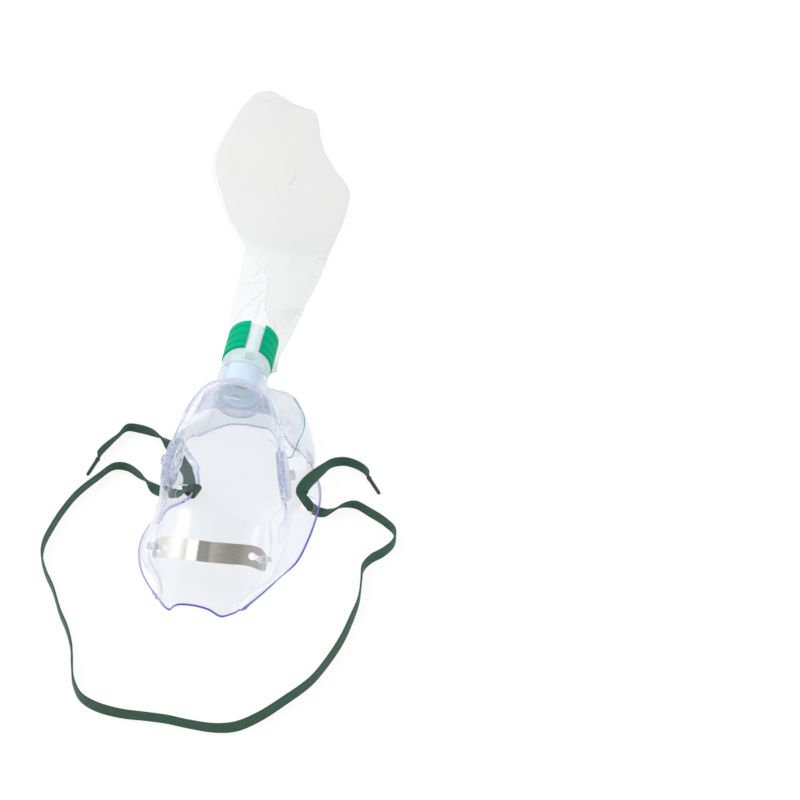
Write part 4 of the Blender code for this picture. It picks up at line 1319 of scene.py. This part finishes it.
    def crumpled(self, rings: np.ndarray) -> np.ndarray:
        """The rings with the soft folds of film that was rolled up and opened again."""
        out = rings.copy()
        count, size = rings.shape[:2]
        centre = rings.mean(axis=1, keepdims=True)
        reach = np.linalg.norm(rings - centre, axis=2).max(axis=1)
        wide, long, deep = self.broad_crumple
        narrow, short, shallow = self.fine_crumple
        for i in range(count):
            free = float(np.interp(i / self.steps, (3, 5, 14, 18), (0, 1, 1, 0.3)))
            for k in range(size):
                p = Vector(rings[i, k])
                fold = noise.noise(Vector((p.x / wide, p.y / long, p.z / wide))) * deep
                fold += abs(noise.noise(Vector((p.x / narrow, p.y / short, 3.1)))) * shallow
                away = rings[i, k] - centre[i, 0]
                away = away / max(1e-6, np.linalg.norm(away))
                edge = abs(math.cos(math.pi * k / self.half_sides)) ** 4
                out[i, k] += away * fold * free * (1 - edge) * min(1.0, reach[i] / 18)
                out[i, k, 2] = max(out[i, k, 2], self.least_height)
        return out

    def at(self, rings: np.ndarray, station: float, share: float, lift: float = 0.0) -> np.ndarray:
        """A point on the bag's upper film.

        Args:
            rings: The bag's rings.
            station: The place along it, counted in stations from the collar's end.
            share: The place across it, from 0 at the left edge to 1 at the right one.
            lift: The height above the film.

        Returns:
            The point.
        """
        i = np.clip((station + self.clamped) * self.steps, 0, len(rings) - 1.001)
        k = math.acos(np.clip(2 * share - 1, -1, 1)) / math.pi * self.half_sides
        i0, k0 = int(i), int(min(k, self.half_sides - 0.001))
        near, far = (rings[r, k0] + (rings[r, k0 + 1] - rings[r, k0]) * (k - k0) for r in (i0, i0 + 1))
        return near + (far - near) * (i - i0) + (0, 0, lift)

    def ridge(self, rings: np.ndarray, path: Profile, width: float) -> np.ndarray:
        """A narrow doubled film along a fold or a weld: rings of four points along the path."""
        line = curve_at(np.array(path, float), spread(len(path), 8))
        points = np.array([self.at(rings, station, share, 0.3) for station, share in line])
        ahead = np.gradient(points, axis=0)
        half = width / 2 * np.sin(np.linspace(0.25, math.pi - 0.25, len(points)))[:, None]
        out = unit(np.cross(ahead, (0, 0, 1))) * half
        up = np.array((0, 0, 0.25))
        top = out * 0.4
        return np.stack([points - out, points + out, points + top + up, points - top + up], axis=1)

    def fin_strip(self) -> np.ndarray:
        """The free film beside the collar: rings of four points along it."""
        edges = np.array(self.fin, float)
        inner, outer = (curve_at(edges[:, k], spread(len(edges), self.steps)) for k in (0, 1))
        inset = np.array((0.0, 0.0, 0.15))
        return np.stack([inner - inset, outer - inset, outer + inset, inner + inset], axis=1)

    @staticmethod
    def add_strip(points: list[np.ndarray], faces: list[Face], strip: np.ndarray) -> None:
        """Adds a closed strip of film, from its rings of four points."""
        first = len(points)
        points += list(strip.reshape(-1, 3))
        faces += ring_faces(len(strip), 4, first)
        faces += [tuple(range(first, first + 4)), tuple(range(len(points) - 4, len(points)))]

    def kind(self, row: int, column: int) -> int:
        """Which of the three looks a face of the skin has: 0 the film, 1 doubled film, 2 single film."""
        lap = np.array(self.lap, float)
        station = row / self.steps - self.clamped
        across = (1 + math.cos(math.pi * (column + 0.5) / self.half_sides)) / 2
        edge = np.interp(station, lap[:, 0], lap[:, 1], right=0)
        if column == self.half_sides - 2 and station >= lap[-1, 0]:
            return 1
        under = column >= self.half_sides and station < 5
        return 2 if under or station < lap[-1, 0] and across < edge else 0

    def build(self, looks: Sequence[bpy.types.Material]) -> bpy.types.Object:
        """Builds the bag's skin, open only at its neck, with its folds.

        Args:
            looks: The film, the doubled film of folds and welds, drawn lighter as a painted highlight along
                the creases, and the clearer single film beside the lap.

        Returns:
            The finished piece.
        """
        rings = self.crumpled(self.rings())
        count, size = rings.shape[:2]
        faces = ring_faces(count, size)
        kinds = [self.kind(*divmod(face[0], size)) for face in faces]
        faces.append(tuple(range((count - 1) * size, count * size)))
        kinds.append(0)
        points = list(rings.reshape(-1, 3))
        # Folds get the doubled film, whose lighter colour paints their crease highlights.
        strips = [(self.ridge(rings, path, width), 1) for path, width in self.folds]
        for strip, kind in [*strips, (self.fin_strip(), 2)]:
            self.add_strip(points, faces, strip)
            kinds += [kind] * (len(faces) - len(kinds))
        mesh = mesh_of("film_bag", points, faces, 60)
        for look in looks:
            mesh.materials.append(look)
        mesh.polygons.foreach_set("material_index", kinds)
        return piece_of("film_bag", mesh, looks)


# The strap


@dataclass
class HeadStrap:
    """The elastic head strap: one ribbon from tip to tip through both ears, mostly standing on its edge.

    Each row of the route is (x, y, z, roll): the roll is in degrees from flat to standing, and None where the
    strap is threaded through an ear and keeps the direction of its width.
    """

    width: float = 6.5
    thickness: float = 1.0
    clearance: float = 0.12
    ribs: int = 11
    rib_depth: float = 0.1
    steps: int = 6
    tip_radius: float = 1.0
    tip_length: float = 13.0
    left_slot_row: int = 19
    right_slot_row: int = 70
    route: tuple[tuple[float, float, float, float | None], ...] = (
        (-72.9, 92.7, 3.4, 90), (-71.8, 96.7, 3.4, 86), (-69.4, 101.6, 3.4, 80), (-66, 108, 3.4, 70),
        (-62.5, 115, 3.4, 80), (-56, 115.4, 3.4, 88), (-48, 113.6, 3.4, 80), (-42, 110.8, 2.8, 45),
        (-37, 107, 1.2, 0), (-30, 98, 0.8, 0), (-24, 89.5, 0.8, 0), (-22.4, 80.2, 0.8, 0),
        (-20.2, 77.3, 0.8, 0), (-18.4, 76.4, 1, 0), (-16.9, 76.1, 2.4, None), (-16.5, 75.9, 4.3, None),
        (-17.3, 75.8, 6, None), (-19.4, 75.6, 6.9, None), (-22, 75.3, 6, None), (-24.3, 75.1, 3.1, None),
        (-26.4, 75, 1.3, None), (-29.5, 74.8, 0.8, 0), (-34.5, 75.2, 0.8, 0), (-39, 76.6, 1.1, 0),
        (-43.4, 79.4, 2.8, -50), (-49, 83, 3.4, -85), (-56.5, 87.2, 3.4, -85), (-63, 86.5, 3.4, -80),
        (-69, 78.4, 3.4, -80), (-77.3, 64.3, 3.4, -85), (-81.8, 51, 3.4, -88), (-84.3, 39.5, 3.4, -90),
        (-85.6, 29.1, 3.4, -90), (-84.5, 20.5, 3.4, -90), (-80.2, 10.7, 3.4, -90), (-73.9, 0.7, 3.4, -90),
        (-67, -13, 3.4, -90), (-61, -23, 3.4, -88), (-56.3, -33.5, 3.4, -88), (-53.2, -45, 3.4, -88),
        (-50.4, -53.5, 3.4, -88), (-45, -61.5, 3.4, -85), (-37, -65.7, 3.4, -82), (-24.6, -67.8, 3.4, -85),
        (-12.4, -67.6, 3.4, -88), (-2.5, -67.6, 3.4, -88), (8, -68.6, 3.4, -88), (20.7, -68.8, 3.4, -85),
        (30.2, -66.3, 3.4, -80), (39.6, -59.2, 3.4, -80), (49.7, -48, 3.4, -82), (60, -34.9, 3.4, -84),
        (66, -22, 3.4, -82), (71, -7, 3.4, -80), (73.6, 6, 3.4, -82), (75.4, 19, 3.4, -90),
        (74.9, 31, 3.4, -92), (74.4, 40, 3.4, -88), (77.6, 46.6, 3.4, -85), (83, 52, 3.4, -84),
        (87.2, 59, 3.4, -88), (86.9, 66.5, 3.4, -90), (81, 72.4, 3.4, -92), (72, 77.8, 3.4, -92),
        (64.4, 81.5, 3.4, -86), (58.4, 80.2, 3.2, -65), (53.6, 76.6, 2.7, -42), (49.6, 75, 1.4, -10),
        (46.4, 75.6, 0.8, 0), (43.8, 76, 1.2, 0), (40.6, 76.6, 5, None), (37.8, 77.4, 8.8, None),
        (36.9, 80, 10.6, -6), (38.2, 85, 10.7, -30), (41.3, 93.4, 8.4, -55), (44.4, 101, 5.8, -75),
        (48.4, 108, 4, -88), (54.4, 110.6, 3.5, -90), (60.4, 109.6, 3.4, -90), (65.4, 106.8, 3.4, -90),
        (68, 103.7, 3.4, -90),
    )  # fmt: skip

    def widths(self, points: np.ndarray) -> np.ndarray:
        """The direction of the strap's width at each row of the route."""
        ahead = np.gradient(points, axis=0)
        made: list[np.ndarray] = []
        for (_, _, _, roll), way in zip(self.route, ahead):
            if roll is None:
                made.append(made[-1])
                continue
            side = np.cross(way, (0, 0, 1))
            side /= np.linalg.norm(side)
            up = np.cross(side, way / np.linalg.norm(way))
            width = side * math.cos(math.radians(roll)) + up * math.sin(math.radians(roll))
            if made and width @ made[-1] < 0:
                width = -width
            made.append(width)
        return np.array(made)

    def frames(self) -> tuple[np.ndarray, np.ndarray, np.ndarray, np.ndarray]:
        """Points of the middle line, with its direction, its width and its face at each."""
        guides = np.array([row[:3] for row in self.route], float)
        line = curve_at(np.hstack([guides, self.widths(guides)]), spread(len(guides), self.steps))
        points, width = line[:, :3], line[:, 3:]
        forward = unit(np.gradient(points, axis=0))
        width = unit(width - (width * forward).sum(axis=1, keepdims=True) * forward)
        return points, forward, width, np.cross(width, forward)

    def section(self) -> np.ndarray:
        """The strap's cross-section, with fine ribs on both faces, as (across, through) points."""
        count = 4 * self.ribs
        across = np.linspace(-1, 1, count + 1)
        edge = np.clip((1 - np.abs(across)) * self.width / 2 / 0.45, 0, 1)
        rise = (self.thickness / 2 - self.rib_depth) * np.sqrt(1 - (1 - edge) ** 2)
        rise += self.rib_depth * np.abs(np.sin(across * math.pi / 2 * self.ribs)) * edge
        upper = np.stack([across * self.width / 2, rise], axis=1)
        lower = np.stack([across[-2:0:-1] * self.width / 2, -rise[-2:0:-1]], axis=1)
        return np.vstack([upper, lower])

    def ribbon(
        self, name: str, first: int, last: int, look: bpy.types.Material
    ) -> tuple[bpy.types.Object, np.ndarray]:
        """Builds one stretch of the strap.

        Args:
            name: The piece's name.
            first: The row of the route where it starts.
            last: The row where it ends.
            look: The braid.

        Returns:
            The piece, and its middle line in the world, in metres.
        """
        section = self.section()
        part = slice(first * self.steps, last * self.steps + 1)
        points, _, width, face = (values[part] for values in self.frames())
        rings = points[:, None] + width[:, None] * section[:, :1] + face[:, None] * section[:, 1:]
        lift = np.maximum(0, self.clearance - rings[:, :, 2].min(axis=1))
        rings[:, :, 2] += lift[:, None]
        middle = points.copy()
        middle[:, 2] += lift
        mesh = rings_mesh(name, rings, sharp=60)
        self.unwrap(mesh, rings, section)
        return piece_of(name, mesh, [look]), (middle + MASK_ORIGIN) * MM

    def unwrap(self, mesh: bpy.types.Mesh, rings: np.ndarray, section: np.ndarray) -> None:
        """Gives the braid its own coordinates, in millimetres along and across the strap."""
        run = np.concatenate([[0], np.cumsum(np.linalg.norm(np.diff(rings.mean(axis=1), axis=0), axis=1))])
        layer = mesh.uv_layers.new(name="braid")
        size = rings.shape[1]
        for loop in mesh.loops:
            ring, spot = divmod(loop.vertex_index, size)
            layer.data[loop.index].uv = (run[ring], section[spot, 0])

    def tip(self, name: str, at_end: bool, look: bpy.types.Material) -> bpy.types.Object:
        """Builds the shrunk tip on one end of the strap, lying on the table."""
        points, forward, _, _ = self.frames()
        point, way = (points[-1], forward[-1]) if at_end else (points[0], -forward[0])
        way = Vector((way[0], way[1], 0)).normalized()
        start = Vector(point) + way * 0.1
        start.z = self.tip_radius + 0.3
        r, length = self.tip_radius, self.tip_length
        profile = rounded(
            [
                (0.3, -0.2), (1.25 * r, 0), (1.15 * r, 1.6), (0.95 * r, 2.4), (r, 3.4),
                (0.92 * r, length - 1), (0.6 * r, length), (0.1, length),
            ],
            0.4,
        )  # fmt: skip
        return piece_of(name, body(name, profile, facing(start, way, (0, 0, 1)), 24), [look])

    def build(self, braid: bpy.types.Material, nylon: bpy.types.Material) -> list[bpy.types.Object]:
        """Builds the strap as three runs, with a shrunk tip on each tail."""
        last = len(self.route) - 1
        runs = (
            ("strap_left_tail", self.left_slot_row, 0, "strap_tip_shrunk_left", False),
            ("strap_loop", self.left_slot_row, self.right_slot_row, None, False),
            ("strap_right_tail", self.right_slot_row, last, "strap_tip_shrunk_right", True),
        )
        made = []
        for name, first, end, tip_name, at_end in runs:
            piece, line = self.ribbon(name, min(first, end), max(first, end), braid)
            line = line if first < end else line[::-1]
            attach(piece, "root")
            pieces = []
            if tip_name:
                pieces = [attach(self.tip(tip_name, at_end, nylon), "root")]
            made += [piece, *pieces]
        return made


# The studio


@dataclass
class Studio:
    """A white table, a soft white room and the camera at the photograph's angle."""

    camera_at: Point = (154.54, -674.0, 840.97)
    heading_deg: float = 5.319
    down_deg: float = 44.97
    roll_deg: float = 3.392
    lens_mm: float = 99.0
    floor_size: float = 6.0
    floor_strength: float = 1.04
    floor_white: float = 0.85
    room_strength: float = 0.62
    horizon: tuple[float, str] = (0.02, "#b3bcee")
    ceiling: tuple[float, str] = (0.55, "#ffffff")
    aim: Point = (0, 90, 20)
    lamps: tuple[tuple[str, Point, float, float], ...] = (
        ("softbox_left", (-900, 300, 1000), 0.9, 9.0),
        ("softbox_right", (900, -100, 900), 0.7, 3.5),
    )
    cards: tuple[tuple[Point, float, float, Colour], ...] = (
        ((-0.8, -0.2, 0.55), 16.0, 34.0, (1.0, 0.985, 0.95, 1)),
        ((0.3, -0.28, 0.91), 24.0, 44.0, (0.46, 0.45, 0.43, 1)),
        ((0.02, -0.33, 0.94), 5.0, 12.0, (0.06, 0.055, 0.05, 1)),
        ((-0.34, -0.33, 0.87), 3.0, 8.0, (2.6, 2.6, 2.7, 1)),
        ((-0.33, -0.12, 0.93), 3.0, 9.0, (2.2, 2.2, 2.3, 1)),
        ((-0.31, 0.1, 0.94), 3.0, 9.0, (2.2, 2.2, 2.3, 1)),
        ((0.85, -0.1, 0.52), 12.0, 34.0, (0.5, 0.49, 0.47, 1)),
    )

    def camera(self) -> bpy.types.Object:
        """Builds the camera."""
        data = bpy.data.cameras.new("camera")
        data.lens, data.sensor_width = self.lens_mm, 36.0
        made = bpy.data.objects.new("camera", data)
        bpy.context.scene.collection.objects.link(made)
        h, e, r = (math.radians(a) for a in (self.heading_deg, self.down_deg, self.roll_deg))
        ahead = Vector((-math.sin(h) * math.cos(e), math.cos(h) * math.cos(e), -math.sin(e)))
        right = Vector((math.cos(h), math.sin(h), 0))
        up = right.cross(ahead)
        across = right * math.cos(r) + up * math.sin(r)
        upright = up * math.cos(r) - right * math.sin(r)
        turn = Matrix((across, upright, -ahead)).transposed().to_4x4()
        place = Vector((np.array(self.camera_at) + MASK_ORIGIN) * MM)
        made.matrix_world = Matrix.Translation(place) @ turn
        bpy.context.scene.camera = made
        return made

    def floor(self) -> bpy.types.Object:
        """Builds the white table top, which keeps a faint shadow."""
        look, tree, out = new_tree("white_table")
        diffuse = add_node(tree, "ShaderNodeBsdfDiffuse", {"Color": linear("#f4f4f4")})
        bright = {"Color": (1, 1, 1, 1), "Strength": self.floor_strength}
        white = add_node(tree, "ShaderNodeEmission", bright)
        seen = any_ray(tree, ("Is Camera Ray", "Is Glossy Ray", "Is Transmission Ray"))
        share = add_node(tree, "ShaderNodeMath", {"operation": "MULTIPLY", 1: self.floor_white}, {0: seen})
        mixed = add_node(
            tree,
            "ShaderNodeMixShader",
            links={0: share.outputs[0], 1: diffuse.outputs["BSDF"], 2: white.outputs["Emission"]},
        )
        tree.links.new(mixed.outputs["Shader"], out.inputs["Surface"])
        h = self.floor_size * 500
        mesh = mesh_of("table", [(-h, -h, 0), (h, -h, 0), (h, h, 0), (-h, h, 0)], [(0, 1, 2, 3)])
        made = piece_of("table", mesh, [look])
        return made

    def card(
        self,
        tree: bpy.types.NodeTree,
        direction: bpy.types.NodeSocket,
        behind: bpy.types.NodeSocket,
        way: Point,
        reach_deg: tuple[float, float],
        colour: Colour,
    ) -> bpy.types.NodeSocket:
        """Puts one round reflector or flag into the room, as mirrors see it.

        Args:
            tree: The world's nodes.
            direction: Where a ray goes.
            behind: The room's colour without it.
            way: Its direction from the mask.
            reach_deg: The angles from its middle to the end of its full strength and to its edge.
            colour: Its light, which may be brighter than white.

        Returns:
            The room's colour with it.
        """
        middle = {"operation": "DOT_PRODUCT", 1: tuple(Vector(way).normalized())}
        dot = add_node(tree, "ShaderNodeVectorMath", middle, {0: direction})
        near, far = (math.cos(math.radians(a)) for a in reach_deg)
        share = add_node(
            tree,
            "ShaderNodeMapRange",
            {"interpolation_type": "SMOOTHSTEP", "From Min": far, "From Max": near},
            {"Value": dot.outputs["Value"]},
        )
        parts = {0: share.outputs["Result"], 6: behind}
        return add_node(tree, "ShaderNodeMix", {"data_type": "RGBA", 7: colour}, parts).outputs[2]

    def room(self) -> None:
        """Builds the room's light: white to the camera, and in reflections darker near the horizon."""
        world = bpy.data.worlds.new("soft_room")
        bpy.context.scene.world = world
        world.use_nodes = True
        tree = world.node_tree
        tree.nodes.clear()
        ray = add_node(tree, "ShaderNodeLightPath")
        place = add_node(tree, "ShaderNodeTexCoord")
        height = add_node(tree, "ShaderNodeSeparateXYZ", links={0: place.outputs["Generated"]})
        shade = add_node(tree, "ShaderNodeValToRGB", links={0: height.outputs["Z"]})
        for stop, (position, code) in zip(shade.color_ramp.elements, (self.horizon, self.ceiling)):
            stop.position, stop.color = position, linear(code)
        mirrored = shade.outputs["Color"]
        for way, within, until, colour in self.cards:
            mirrored = self.card(tree, place.outputs["Generated"], mirrored, way, (within, until), colour)
        mirrored = add_node(
            tree,
            "ShaderNodeMix",
            {"data_type": "RGBA"},
            {0: ray.outputs["Is Glossy Ray"], 6: shade.outputs["Color"], 7: mirrored},
        ).outputs[2]
        bounced = any_ray(tree, ("Is Glossy Ray", "Is Transmission Ray"))
        seen = add_node(tree, "ShaderNodeBackground", {"Strength": 1.0}, {"Color": mirrored})
        lit = add_node(tree, "ShaderNodeBackground", {"Color": (1, 1, 1, 1), "Strength": self.room_strength})
        either = add_node(
            tree,
            "ShaderNodeMixShader",
            links={0: bounced, 1: lit.outputs["Background"], 2: seen.outputs["Background"]},
        )
        white = add_node(tree, "ShaderNodeBackground", {"Color": (1, 1, 1, 1), "Strength": 1.0})
        mixed = add_node(
            tree,
            "ShaderNodeMixShader",
            links={
                0: ray.outputs["Is Camera Ray"],
                1: either.outputs["Shader"],
                2: white.outputs["Background"],
            },
        )
        out = add_node(tree, "ShaderNodeOutputWorld")
        tree.links.new(mixed.outputs["Shader"], out.inputs["Surface"])

    def lamp(self, name: str, at: Point, size: float, watts: float) -> bpy.types.Object:
        """Builds one softbox that looks at the middle of the mask.

        Args:
            name: Its name.
            at: Its place in the mask's frame, in millimetres.
            size: Its side in metres.
            watts: Its power.

        Returns:
            The lamp.
        """
        data = bpy.data.lights.new(name, "AREA")
        data.shape, data.size, data.energy = "SQUARE", size, watts
        made = bpy.data.objects.new(name, data)
        bpy.context.scene.collection.objects.link(made)
        place = Vector((np.array(at) + MASK_ORIGIN) * MM)
        made.location = place
        aim = Vector((MASK_ORIGIN + self.aim) * MM) - place
        made.rotation_mode = "QUATERNION"
        made.rotation_quaternion = aim.to_track_quat("-Z", "Y")
        made.visible_glossy = False
        return made

    def build(self) -> None:
        """Builds camera, table, room and lamps."""
        self.camera()
        self.floor()
        self.room()
        for name, at, size, watts in self.lamps:
            self.lamp(name, at, size, watts)


def main() -> None:
    """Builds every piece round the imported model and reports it."""
    logging.basicConfig(level=logging.INFO, format="%(message)s")
    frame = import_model()
    bpy.context.scene.view_settings.view_transform = "Standard"
    Studio().build()

    pvc = ClearPvc().build()
    silicone = FrostedSilicone().build()
    film = [
        BlownFilm().build(),
        # Folds and welds: real doubled film, drawn lighter than the film to paint the creases' highlights.
        BlownFilm("doubled_polyethylene_film", "#f9f9f9", cover=0.65).build(),
        BlownFilm("single_polyethylene_film", "#f3f5f5", cover=0.34).build(),
    ]
    # The milky connector gets a painted glow (lit), so that its shaded inside stays bright.
    milky = Polypropylene("milky_polypropylene", "#dae8eb", clearness=0.42, lit=0.16).build()
    green = Polypropylene("green_polypropylene", "#00b586", glow=0.0, roughness=0.5, gloss=0.04).build()

    straps = HeadStrap().build(BraidedElastic().build(), ShrunkTip().build())
    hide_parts("head_strap")
    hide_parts("strap_tip_left")
    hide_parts("strap_tip_right")

    shell = MaskShell()
    strip = NoseStrip(shell)
    connector = Connector(shell)
    collar = BagCollar(connector)
    edge = GuidedPvcEdge().build()
    teal = GuidedPvcEdge("light_guiding_pvc_ledge", "#58b4bd", "#58b4bd", chin_share=1.0).build()
    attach(shell.ledge(teal), "root")
    dressed = {
        "mask_shell": shell.build([pvc, edge], strip.pegs()),
        "nose_strip": strip.build(RolledAluminium().build()),
        "exhale_disc_left": ExhaleValve(shell, Side.LEFT).build(silicone),
        "exhale_disc_right": ExhaleValve(shell, Side.RIGHT).build(silicone),
        "connector_body": connector.build(milky),
        "bag_collar": collar.build(green),
        "reservoir_bag": ReservoirBag(collar).build(film),
    }
    for node, piece in dressed.items():
        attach(piece, "root")
        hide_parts(node)
        LOG.info("%s stands for %s: %d faces", piece.name, node, len(piece.data.polygons))
    frame["nodes"]["check_valve_flap"].data.materials.clear()
    frame["nodes"]["check_valve_flap"].data.materials.append(silicone)


if __name__ == "__main__":
    main()
